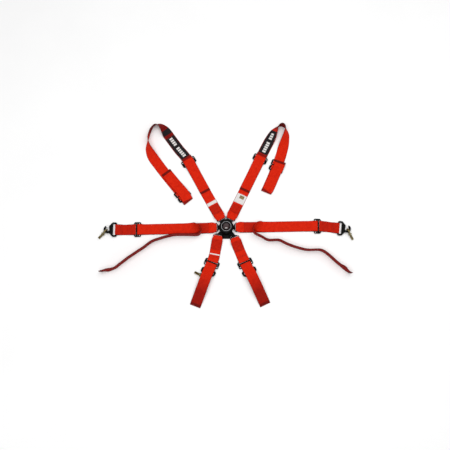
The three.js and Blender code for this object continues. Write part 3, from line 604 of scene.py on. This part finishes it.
def overlay(name, ribbon, start, end, low, high, material, body, thickness=LABEL_THICK, layer=0.0,
            replaces=()):
    """A label, patch or mark sewn on the face that looks up."""
    face = ribbon.upper((start + end) / 2)
    bottom = face * (WEB_THICK / 2 + layer)
    top = face * (WEB_THICK / 2 + layer + thickness)
    mesh = ribbon.strip(name, start, end, low, high, min(bottom, top), max(bottom, top))
    made = piece(name, mesh, material, body, replaces=replaces)
    return made


def stitching(name, ribbon, lines, body, material="thread", layer=0.0, face=None):
    """Sewn lines: short raised threads between pairs of (along, across) points."""
    points = []
    faces = []
    for (start, low), (end, high) in lines:
        length = math.hypot(end - start, high - low)
        count = max(1, round(length / STITCH_PITCH))
        side = face or ribbon.upper((start + end) / 2)
        aside = Vector((-(high - low), end - start)) / length * STITCH_RADIUS
        for stitch in range(count):
            middle = (stitch + 0.5) / count
            reach = STITCH_LENGTH / 2 / length
            for part, lift in ((-reach, 0.0), (-reach / 2, 1.0), (reach / 2, 1.0), (reach, 0.0)):
                along = start + (end - start) * (middle + part)
                across = low + (high - low) * (middle + part)
                off = WEB_THICK / 2 + layer
                fat = STITCH_END_SIZE + (1 - STITCH_END_SIZE) * lift
                for sideways, up in STITCH_SECTION:
                    points.append(ribbon.point(
                        along + aside.x * sideways * fat, across + aside.y * sideways * fat,
                        side * (off + STITCH_RADIUS * (up * fat + STITCH_ARCH * lift)),
                    ))
            around = len(STITCH_SECTION)
            first = len(points) - 4 * around
            faces += [tuple(index + first for index in face_points) for face_points in rings(4, around)]
    return piece(name, mesh_from(name, points, faces, sharp_degrees=80), material, body)


def hem(name, ribbon, start, end, face, body):
    """The cut end of a belt turned over on itself and sewn down, on one face."""
    half = WEB_WIDTH / 2 - HEM_INSET
    low, high = sorted((face * (WEB_THICK / 2 + 0.1), face * 1.5 * WEB_THICK))
    mesh = ribbon.strip(name, start, end, -half, half, low, high)
    # The hem's dark colour is painted shade at the belt's turned-over end.
    made = piece(name, mesh, "webbing_hem_shade", body)
    middle = (start + end) / 2
    stitching(
        f"{name}_stitches", ribbon, bars(middle - 2.2, 3), body, "dark_thread",
        layer=WEB_THICK, face=face,
    )


def box_and_cross(start, end, half=WEB_WIDTH / 2 - SEAM_INSET):
    """The sewn box with a cross in it that holds a folded end."""
    corners = [(start, -half), (end, -half), (end, half), (start, half)]
    return [*zip(corners, corners[1:] + corners[:1]), (corners[0], corners[2]), (corners[1], corners[3])]


def bars(start, count, gap=2.2, half=WEB_WIDTH / 2 - 2.5):
    """Rows of stitches straight across the webbing."""
    return [((start + row * gap, -half), (start + row * gap, half)) for row in range(count)]


# ------------------------------------------------------------------ belts

def tongue_loop(bar_at, height, sewn_to):
    """The sewn loop round a tongue's bar, and the upper layer down to the bench past it."""
    return [
        (sewn_to, FIRST_LAYER), (bar_at + EYE_REACH, FIRST_LAYER),
        *((bar_at + past, height - PLATE_LOOP - 0.8, 0, 0, width) for past, width in reversed(EYE_CORNER)),
        *wrap(bar_at - 1, height, PLATE_LOOP, 270, 90, EYE_WEB_WIDTH),
        *((bar_at + past, height + PLATE_LOOP - 0.4, 0, 0, width) for past, width in EYE_CORNER),
        (bar_at + EYE_REACH + 2, THIRD_LAYER - 1),
        (sewn_to, SECOND_LAYER), (sewn_to + SEWN_END, SECOND_LAYER), (sewn_to + SEWN_RUNOUT, FIRST_LAYER),
    ]


def sewn_tongue(prefix, ribbon, body, start, end):
    """The sewn reinforcing patch beside a tongue, with its box and cross of stitches."""
    near = ribbon.mark(1, start)
    far = ribbon.mark(1, end)
    half = WEB_WIDTH / 2 - PATCH_INSET
    # The patch's darker red is painted shade.
    overlay(
        f"{prefix}_tongue_patch", ribbon, near, far, -half, half, "webbing_shaded", body,
        thickness=PATCH_THICK,
    )
    seams = box_and_cross(near + SEAM_INSET, far - SEAM_INSET)
    stitching(f"{prefix}_tongue_stitches", ribbon, seams, body, layer=PATCH_THICK)


def lap_belt(prefix, body, route, tail, adjuster_at, hook_at, tail_side):
    slide_bar = adjuster_at - SLIDE_BAR_AT
    belt = [
        *tongue_loop(TONGUE_BAR, TONGUE_HEIGHT, sewn_to=TONGUE_BAR + 82),
        (adjuster_at - 40, FIRST_LAYER),
        *wrap(slide_bar, FRAME_HEIGHT, BAR_LOOP, -90, 90),
        (adjuster_at - FRAME_OUTER - 1, BAR_TOP_LAYER - 0.6), (adjuster_at - 52, SECOND_LAYER),
        (196, SECOND_LAYER), (170, THIRD_LAYER + 1, 0, 0, WEB_WIDTH, 1),
    ]
    flat = 180
    on_edge = flat + tail_side * 90
    spare = [
        (14, 12, 0, flat + tail_side * 20, WEB_WIDTH, 1), (30, 24, 0, flat + tail_side * 50, WEB_WIDTH, 1),
        (46, 31, 0, flat + tail_side * 78), (64, 31, 0, on_edge), (84, 27, 0, on_edge),
        (tail.length - 62, 26, 0, on_edge), (tail.length - 40, 26, 0, on_edge + tail_side * 8),
        (tail.length, 26, 0, on_edge - tail_side * 9),
    ]
    stations = route.stations(belt)
    fold = len(stations)
    stations += tail.stations(spare)
    # Painted shade on the tail that stands on its edge, from just past the fold to its end.
    tail_shade = (fold + 13, fold + 20, 0.8)
    ribbon = webbing(f"{prefix}_belt", stations, body, shade_ramps=[tail_shade])
    sewn_tongue(prefix, ribbon, body, start=TONGUE_BAR + 32, end=TONGUE_BAR + 80)
    end = ribbon.length
    hem(f"{prefix}_tail_hem", ribbon, end - 14, end - 0.5, 1, body)

    anchor_rows = [
        (adjuster_at + 34, SECOND_LAYER), (adjuster_at + 14, SECOND_LAYER + 2),
        (adjuster_at + 4, FRAME_HEIGHT + PLATE_LOOP + 0.2),
        *wrap(adjuster_at - STRAP_LOOP_AHEAD, FRAME_HEIGHT, PLATE_LOOP, 90, 270),
        (adjuster_at + 14, FIRST_LAYER), (hook_at - 24, FIRST_LAYER),
        *wrap(hook_at + 1, HOOK_BAR_HEIGHT, HOOK_LOOP, -90, 90),
        (hook_at - 12, SECOND_LAYER + 3), (hook_at - 28, SECOND_LAYER),
    ]
    # The anchor strap's darker red is painted shade.
    anchor = webbing(f"{prefix}_anchor_strap", route.stations(anchor_rows), body, "webbing_shaded")
    stitching(f"{prefix}_anchor_stitches", anchor, box_and_cross(3, 22), body)
    stitching(f"{prefix}_hook_stitches", anchor, bars(anchor.length - 10, 4), body)


def banked(row):
    """A row of a loop that stands up off the bench: the further it tilts, the higher it is."""
    distance, tilt = row
    return (distance, FIRST_LAYER + WEB_WIDTH / 2 * abs(math.sin(math.radians(tilt))), 0, tilt)


def rear_rows(hook_at, slack, slack_top, tail_shift, tail):
    """The doubled rear end of a shoulder belt: over its hook's plate, through its slide, down
    through the hook's slot, round a slack fold, and back over everything."""
    def above(back, lift, shift=0):
        return (hook_at - back, HOOK_BAR_HEIGHT - math.tan(math.radians(REAR_DIP)) * back + lift, shift)

    return [
        (hook_at - 100, FIRST_LAYER), (hook_at - 66, 4.8),
        above(58, 3.4), above(46.5, 3.4), above(39.5, 9.4), above(34.5, 9.4), above(27.5, 3.4),
        above(16, 3.4), above(14, 3.2), above(4.5, -4), above(-3, -3.9), (hook_at + 14, FIRST_LAYER),
        *wrap(hook_at + slack - 4, FIRST_LAYER + SLACK_FOLD, SLACK_FOLD, -90, 90),
        *((hook_at + past, height, tail_shift / 2) for past, height in slack_top),
        above(-4, 3.6, tail_shift / 2), above(14, 6.6, tail_shift), above(22, 9.6, tail_shift),
        above(32, 11.9, tail_shift), above(44, 11.9, tail_shift),
        *((hook_at - back, height, tail_shift) for back, height in tail),
    ]


def shoulder_belt(prefix, route, adjuster_at, loop, loop_middle, loop_reach, rear, patch, label, shade_sheet):
    front_rows = [
        *tongue_loop(TONGUE_BAR, TONGUE_HEIGHT, sewn_to=TONGUE_BAR + 76),
        (adjuster_at - 46, FIRST_LAYER), (adjuster_at - 12, FIRST_LAYER),
        *wrap(adjuster_at + STRAP_LOOP_AHEAD, FRAME_HEIGHT, PLATE_LOOP, -90, 90),
        (adjuster_at - 4, FRAME_HEIGHT + PLATE_LOOP + 0.2), (adjuster_at - 14, SECOND_LAYER + 2),
        (adjuster_at - 42, SECOND_LAYER),
    ]
    front = webbing(f"{prefix}_front_strap", route.stations(front_rows), prefix)
    sewn_tongue(prefix, front, prefix, start=TONGUE_BAR + 30, end=TONGUE_BAR + 74)
    sewn_label(prefix, front, *label)

    fold_at = adjuster_at + FRAME_OUTER + 6
    long_rows = [
        (SPARE_END_AT, SECOND_LAYER), (adjuster_at - 58, SECOND_LAYER),
        (adjuster_at - 44, THIRD_LAYER + 0.3), (adjuster_at - 13, THIRD_LAYER + 3),
        (adjuster_at + 3, BAR_TOP_LAYER + 2 * TIGHT_FOLD),
        *wrap(fold_at, BAR_TOP_LAYER + TIGHT_FOLD, TIGHT_FOLD, 90, -90),
        *wrap(adjuster_at + SLIDE_BAR_AT, FRAME_HEIGHT, BAR_LOOP, 90, 270),
        (fold_at + 8, FIRST_LAYER), *map(banked, loop), *rear_rows(**rear),
    ]
    stations = route.stations(long_rows)
    distances = [station["at"] for station in stations]
    rearmost = distances.index(max(distances))
    loop_top = next(index for index in range(rearmost) if distances[index] > loop_middle)
    # The belt's first stretch runs outwards only as far as its fold over the adjuster.
    front_fold = distances.index(max(distances[:loop_top // 2]))
    # Painted shade at the fold over the adjuster, in the loop's turn and at the rear fold.
    crease_shades = [(front_fold, 16, 0.85), (loop_top, loop_reach, 0.9), (rearmost + 5, 9, 0.8)]
    long_belt = webbing(f"{prefix}_long_belt", stations, prefix, crease_shades=crease_shades)
    end = long_belt.length
    hem(f"{prefix}_spare_hem", long_belt, 0.5, 11, long_belt.upper(5), prefix)
    hem(f"{prefix}_rear_hem", long_belt, end - 12, end - 0.5, long_belt.upper(end - 5), prefix)
    shoulder_patch(prefix, long_belt, patch, shade_sheet)


def sewn_label(prefix, front, start, end, foil):
    """A white label across the strap, with a plain foil rectangle where there is one."""
    half = WEB_WIDTH / 2 - LABEL_INSET
    near = front.mark(1, start)
    far = front.mark(1, end)
    overlay(f"{prefix}_label", front, near, far, -half, half, "label", prefix)
    edges = [((mark, -half + 1), (mark, half - 1)) for mark in (near + 1.2, far - 1.2)]
    stitching(f"{prefix}_label_stitches", front, edges, prefix, "thread", layer=LABEL_THICK)
    if foil:
        overlay(
            f"{prefix}_label_foil", front, far - 22, far - 6, -14, 8, "foil", prefix,
            thickness=PRINT_THICK, layer=LABEL_THICK,
        )


def shoulder_patch(prefix, belt, patch, shade_sheet):
    """The black patch sewn on the belt past its adjuster, with plain pale blocks on it, and a short black sheet
    beyond it that is painted shade in the loop."""
    start, end = (belt.mark(2, distance) for distance in patch)
    half = WEB_WIDTH / 2 - LABEL_INSET
    overlay(
        f"{prefix}_sewn_patch", belt, start, end, -half, half, "patch", prefix, thickness=PATCH_THICK,
        replaces=[f"{prefix}_patch"],
    )
    seams = [((start + 2, side), (end - 2, side)) for side in (-half + 1.6, half - 1.6)]
    seams += [((at, -half + 2), (at, half - 2)) for at in (start + 2, end - 2)]
    stitching(f"{prefix}_patch_stitches", belt, seams, prefix, "thread", layer=PATCH_THICK)
    at = start + 9
    number = 0
    while at + BLOCK_LENGTH < end - 7:
        number += 1
        if number != BLOCK_LEFT_OUT:
            overlay(
                f"{prefix}_patch_block_{number}", belt, at, at + BLOCK_LENGTH, -8, 8, "label", prefix,
                thickness=PRINT_THICK, layer=PATCH_THICK,
            )
        at += BLOCK_LENGTH + BLOCK_GAP
    near, far = (belt.mark(2, distance) for distance in shade_sheet)
    # A black sheet on the loop: painted shade.
    overlay(
        f"{prefix}_loop_band", belt, near, far, -half, half, "patch", prefix, thickness=0.6,
    )


def leg_belt(prefix, route, tongue_bar_at, adjuster_at, hook_at, label):
    strap_rows = [
        *tongue_loop(tongue_bar_at, TONGUE_HEIGHT, sewn_to=tongue_bar_at + 48),
        (adjuster_at - 34, FIRST_LAYER), (adjuster_at - 12, FIRST_LAYER),
        *wrap(adjuster_at + STRAP_LOOP_AHEAD, FRAME_HEIGHT, PLATE_LOOP, -90, 90),
        (adjuster_at - 4, FRAME_HEIGHT + PLATE_LOOP + 0.2), (adjuster_at - 14, SECOND_LAYER + 2),
        (adjuster_at - 28, SECOND_LAYER),
    ]
    strap = webbing(f"{prefix}_strap", route.stations(strap_rows), prefix)
    sewn_tongue(prefix, strap, prefix, start=tongue_bar_at + 14, end=tongue_bar_at + 62)
    if label:
        near, far = (strap.mark(1, distance) for distance in label)
        half = WEB_WIDTH / 2 - LABEL_INSET
        overlay(f"{prefix}_label", strap, near, far, -half, half, "label", prefix)
    stitching(f"{prefix}_strap_stitches", strap, bars(strap.length - 10, 4), prefix)

    belt_rows = [
        (hook_at + 176, FIRST_LAYER + 0.3), (hook_at + 136, 13), (hook_at + 100, 26), (hook_at + 70, 30),
        (hook_at + 48, RING_TOP_LAYER), (hook_at + 32, RING_TOP_LAYER), (hook_at + 20, 28), (hook_at, 18),
        (adjuster_at + 28, 12),
        *wrap(adjuster_at + SLIDE_BAR_AT, FRAME_HEIGHT, BAR_LOOP, 90, 270),
        (hook_at - 10, FIRST_LAYER),
        *wrap(hook_at + 1, HOOK_BAR_HEIGHT, HOOK_LOOP, -90, 90),
        (hook_at - 8, 9), (hook_at - 14, 7.4),
    ]
    # Painted shade deepening towards the belt's free end, where it slopes down.
    end_shade = (52, 22, 0.66)
    belt = webbing(f"{prefix}_belt", route.stations(belt_rows), prefix, shade_ramps=[end_shade])
    hem(f"{prefix}_end_hem", belt, 0.5, 13, belt.upper(5), prefix)


lap_belt(
    "lap_left", "buckle",
    Route([(0, 0), (-200, -4), (-408, -9), (-510, -10), (-580, -11)]),
    Route([
        (-165, -3), (-145, -3), (-127, -7), (-115, -20), (-122, -34), (-145, -39), (-235, -39), (-300, -55),
        (-340, -70), (-377, -98), (-435, -138), (-481, -174), (-500, -190), (-515, -196), (-538, -202),
        (-573, -207),
    ]),
    adjuster_at=423, hook_at=507, tail_side=1,
)
lap_belt(
    "lap_right", "lap_right",
    Route([(0, 0), (200, 4), (425, 7), (520, -3), (580, -10)]),
    Route([
        (172, 4), (152, 4), (135, 0), (124, -14), (130, -30), (160, -46), (194, -63), (240, -63), (271, -78),
        (301, -90), (340, -103), (378, -109), (428, -109), (463, -130), (501, -166), (532, -190), (551, -208),
        (567, -214),
    ]),
    adjuster_at=435, hook_at=517, tail_side=-1,
)
shoulder_belt(
    "shoulder_left",
    Route([
        (0, 0), (-90, 160), (-178, 322), (-228, 388), (-269, 445), (-297, 484), (-322, 503), (-345, 497),
        (-362, 467), (-371, 430), (-371, 396), (-352, 350), (-322, 309), (-293, 270), (-235, 197),
        (-172, 120),
    ]),
    adjuster_at=352,
    loop_middle=590, loop_reach=120,
    loop=[(535, 0), (569, 35), (600, 60), (624, 78), (659, 90), (697, 90), (731, 65), (781, 25), (825, 0)],
    rear=dict(
        hook_at=1048, slack=22, slack_top=[], tail_shift=7,
        tail=[(53, 12.3), (75, 7.6), (105, 4), (162, 3.7)],
    ),
    patch=(394, 524), label=(127, 145, False), shade_sheet=(538, 562),
)
shoulder_belt(
    "shoulder_right",
    Route([
        (0, 0), (81, 169), (163, 340), (203, 420), (233, 474), (250, 496), (270, 500), (284, 486), (287, 462),
        (281, 428), (269, 384), (254, 335), (221, 250), (184, 165),
    ]),
    adjuster_at=358, loop_middle=568, loop_reach=46,
    loop=[
        (455, 0), (500, -25), (528, -50), (556, -80), (576, -90), (596, -85), (620, -60), (655, -38),
        (690, -14), (712, 0),
    ],
    rear=dict(
        hook_at=818, slack=115, slack_top=[(96, 4), (24, 4.4)], tail_shift=9, tail=[(52, 12.3)],
    ),
    patch=(401, 524), label=(131, 178, True), shade_sheet=(568, 582),
)
leg_belt(
    "leg_left",
    Route([(-31, -4), (-39, -47), (-47, -92), (-58, -146), (-82, -208), (-111, -287), (-140, -362)]),
    tongue_bar_at=40, adjuster_at=154, hook_at=200, label=(120, 127),
)
leg_belt(
    "leg_right",
    Route([(25, -15), (54, -90), (84, -162), (110, -217), (142, -285), (174, -353)]),
    tongue_bar_at=40, adjuster_at=150, hook_at=197, label=None,
)


# ------------------------------------------------------------------ metalwork

def joint(name):
    return next(joint for joint in frame["joints"] if joint["name"] == name)


def placed(points, origin, x_axis, y_axis):
    """Points in a piece's own axes, moved to where it is."""
    z_axis = x_axis.cross(y_axis)
    return [origin + x_axis * x + y_axis * y + z_axis * z for x, y, z in points]


def turned(rows, around, radius_at=lambda radius, turn, height: radius):
    """Points round the X axis, through (distance along X, radius) rows."""
    points = []
    for x, radius in rows:
        for step in range(around):
            turn = 2 * math.pi * step / around
            reach = radius_at(radius, turn, x)
            points.append((x, reach * math.cos(turn), reach * math.sin(turn)))
    return points


def knurled_bar(prefix):
    """The adjuster's sliding bar: chamfered ends and a cross-cut grip along its length."""
    node = f"{prefix}_adjuster_bar"
    low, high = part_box(node)
    centre = (low + high) / 2 / MM
    forward = Vector(joint(f"{node}_slide")["axis"])
    along = Vector((-forward.y, forward.x, 0))
    half = BAR_LENGTH / 2

    def grip(radius, turn, x):
        if abs(x) > half - GRIP_MARGIN:
            return radius
        pitch = 2 * math.pi / GRIP_PITCH
        cross = max(math.sin(pitch * x + GRIP_STARTS * turn), math.sin(pitch * x - GRIP_STARTS * turn))
        return radius - GRIP_DEPTH + GRIP_DEPTH * max(cross, 0.0)

    count = 300
    around = 40
    length = BAR_LENGTH - 2 * BAR_CHAMFER
    rows = [(-half, BAR_RADIUS - BAR_CHAMFER)]
    rows += [(-half + BAR_CHAMFER + length * step / count, BAR_RADIUS) for step in range(count + 1)]
    rows += [(half, BAR_RADIUS - BAR_CHAMFER)]
    points = placed(turned(rows, around, grip), centre, along, forward)
    mesh = mesh_from(f"{node}_grip", points, rings(len(rows), around))
    piece(f"{node}_grip", mesh, "black_steel", body_of(node), replaces=[node])


def eyebolt(prefix):
    """A forged ring, its collar and a shank with a rolled 20-to-the-inch thread."""
    node = f"{prefix}_eyebolt"
    mounts = {mount["name"]: mount for mount in frame["record"]["mounts"]}
    shank = Vector(mounts[f"{prefix}_bolt_end"]["axis"])
    swing = joint(f"{node}_swing")
    beside = -Vector(swing["axis"])
    centre = Vector(swing["pos_m"]) / MM
    ring_points = []
    around, tube = 64, 20
    for step in range(around):
        turn = 2 * math.pi * step / around
        for part in range(tube):
            bend = 2 * math.pi * part / tube
            reach = RING_RADIUS + RING_WIRE * math.cos(bend)
            ring_points.append((reach * math.cos(turn), RING_WIRE * math.sin(bend), reach * math.sin(turn)))
    ring_faces = rings(around, tube, closed_ends=False)
    last = (around - 1) * tube
    ring_faces += [(last + i, last + (i + 1) % tube, (i + 1) % tube, i) for i in range(tube)]
    body = body_of(node)
    ring = mesh_from(f"{node}_ring", placed(ring_points, centre, shank, beside), ring_faces)
    piece(f"{node}_ring", ring, "zinc_steel", body, replaces=[node])

    neck = [
        (12.4, 4.6), (13.4, 6.4), (14.0, 8.2), (14.4, 8.5), (17.1, 8.5), (17.5, 8.2), (17.6, 5.6),
        (THREAD_START, 5.1),
    ]
    step_count = round((THREAD_END - THREAD_START) / THREAD_STEP)
    thread_rows = [(THREAD_START + THREAD_STEP * step, THREAD_RADIUS) for step in range(step_count + 1)]
    tip = [(43.5, 4.7), (44, 4.4)]

    def thread(radius, turn, x):
        if not THREAD_START + 0.2 < x < THREAD_END + 0.2:
            return radius
        wave = (x / THREAD_PITCH - turn / (2 * math.pi)) % 1
        return radius - THREAD_DEPTH * abs(2 * wave - 1)

    rows = [*neck, *thread_rows, *tip]
    around = 36
    points = placed(turned(rows, around, thread), centre, shank, beside)
    mesh = mesh_from(f"{node}_shank", points, rings(len(rows), around), sharp_degrees=60)
    piece(f"{node}_shank", mesh, "zinc_steel", body)


def lobed(rows, around, lobes=8):
    """Points round +Z through (radius, height, lobe depth) rows."""
    points = []
    for radius, height, depth in rows:
        for step in range(around):
            turn = 2 * math.pi * step / around
            reach = radius + depth * math.cos(lobes * turn)
            points.append((reach * math.cos(turn), reach * math.sin(turn), height))
    return points


def knob():
    """The scalloped knob, its eight-sided ring, whose grey is a painted highlight, and the dark insert with a
    white bar that is a painted highlight.
    """
    around = 160
    outside = [
        (24.6, 24.6, 0), (30.2, 24.6, 0.9), (32.6, 25.4, 1.4), (33.6, 27.0, 1.6), (33.8, 29.0, 1.6),
        (33.4, 31.4, 1.6), (32.2, 33.4, 1.4), (30.2, 34.6, 1.1), (27.4, 35.0, 0.6), (25.2, 34.9, 0.2),
        (24.6, 34.3, 0.1), (21.6, 34.1, 0), (17.6, 34.4, 0), (16.7, 34.9, 0), (16.1, 34.6, 0),
        (15.95, 32.6, 0),
    ]
    faces = rings(len(outside), around)
    mesh = mesh_from("buckle_knob_grip", lobed(outside, around), faces, sharp_degrees=50)
    piece("buckle_knob_grip", mesh, "black_housing", "knob", replaces=["buckle_knob"])

    # The ring's grey is a painted highlight on the knob's top.
    sides = 8
    ring_points = []
    section = [(21.2, 34.0), (21.2, 34.8), (21.6, 35.1), (22.8, 35.1), (23.2, 34.8), (23.2, 34.0)]
    for radius, height in section:
        for step in range(around):
            turn = 2 * math.pi * (step + 0.5) / around
            within = (turn + math.pi / sides) % (2 * math.pi / sides) - math.pi / sides
            reach = radius * (0.35 + 0.65 * math.cos(math.pi / sides) / math.cos(within)) * 1.03
            ring_points.append((reach * math.cos(turn), reach * math.sin(turn), height))
    mesh = mesh_from("buckle_knob_ring", ring_points, rings(len(section), around, closed_ends=False))
    piece("buckle_knob_ring", mesh, "ring_highlight_grey", "knob")

    cap = [
        (15.5, 32.8, 0), (15.5, 34.8, 0), (15.1, 35.3, 0), (14.2, 35.5, 0), (12.9, 35.4, 0), (12.4, 35.0, 0),
        (6.0, 35.1, 0), (1.0, 35.15, 0),
    ]
    mesh = mesh_from("buckle_knob_insert", lobed(cap, 96), rings(len(cap), 96))
    piece("buckle_knob_insert", mesh, "cap", "knob", replaces=["buckle_knob_cap"])

    # A white bar on the cap: a painted highlight where the cap catches the light.
    corners = [
        (-1, -1, 0), (1, -1, 0), (1, 1, 0), (-1, 1, 0),
        (-0.9, -0.7, 1), (0.9, -0.7, 1), (0.9, 0.7, 1), (-0.9, 0.7, 1),
    ]
    bar = [(x * 5.6, -8.6 + y * 1.6, 35.05 + z * 0.45) for x, y, z in corners]
    mesh = mesh_from("buckle_cap_highlight_bar", bar, rings(2, 4))
    piece("buckle_cap_highlight_bar", mesh, "label", "knob")


BELTS = ("lap_left", "lap_right", "shoulder_left", "shoulder_right", "leg_left", "leg_right")

for prefix in BELTS:
    refined(f"{prefix}_tongue", "black_steel", 0.6)
    refined(f"{prefix}_adjuster_frame", "black_steel", 0.9, 3)
    refined(f"{prefix}_snap_hook", "black_steel", 1.0, 3)
    refined(f"{prefix}_hook_latch", "plain_steel", 0.4)
    knurled_bar(prefix)
for prefix in ("shoulder_left", "shoulder_right"):
    refined(f"{prefix}_rear_slide", "black_steel", 0.7)
for prefix in ("lap_left", "lap_right", "leg_left", "leg_right"):
    eyebolt(prefix)
refined("buckle_back_plate", "black_steel", 0.6)
refined("buckle_leg_guide", "black_housing", 1.2, 3)
refined("buckle_housing", "black_housing", 1.0, 3)
refined("buckle_lock_plate", "plain_steel", 0.3)
refined("buckle_cam_ring", "plain_steel", 0.3)
refined("buckle_centre_post", "plain_steel", 0.4)
refined("buckle_knob_spring", "plain_steel", 0.1, 1)
knob()


# ------------------------------------------------------------------ floor, light and camera

def area_light(name, place, target, size, power):
    data = bpy.data.lights.new(name, "AREA")
    data.shape = "DISK"
    data.size = size
    data.energy = power
    light = bpy.data.objects.new(name, data)
    bpy.context.scene.collection.objects.link(light)
    light.location = place
    light.rotation_euler = (Vector(target) - Vector(place)).to_track_quat("-Z", "Y").to_euler()


def floor():
    half = 4000
    corners = [(-half, -half, 0), (half, -half, 0), (half, half, 0), (-half, half, 0)]
    mesh = mesh_from("floor", corners, [(0, 1, 2, 3)])
    mesh.materials.append(MATERIALS["floor"])
    made = bpy.data.objects.new("floor", mesh)
    bpy.context.scene.collection.objects.link(made)


def studio_sky(strength):
    """An even white surround."""
    world = bpy.data.worlds.new("studio")
    world.use_nodes = True
    background = world.node_tree.nodes["Background"]
    background.inputs["Color"].default_value = (1, 1, 1, 1)
    background.inputs["Strength"].default_value = strength
    bpy.context.scene.world = world


def camera(target, elevation, distance, field):
    data = bpy.data.cameras.new("camera")
    data.angle = math.radians(field)
    data.clip_end = 20
    made = bpy.data.objects.new("camera", data)
    bpy.context.scene.collection.objects.link(made)
    lift = math.radians(elevation)
    made.location = Vector(target) + distance * Vector((0, -math.cos(lift), math.sin(lift)))
    made.rotation_euler = (Vector(target) - made.location).to_track_quat("-Z", "Y").to_euler()
    bpy.context.scene.camera = made


floor()
area_light("key", place=(-0.3, -0.5, 5.0), target=(0, 0, 0), size=5.0, power=205)
area_light("fill", place=(1.2, 1.0, 2.6), target=(0, 0, 0), size=2.0, power=14)
studio_sky(strength=0.32)
bpy.context.scene.view_settings.view_transform = "Standard"
camera(target=(-0.0056, 0.014, 0), elevation=76, distance=3.0, field=38.3)
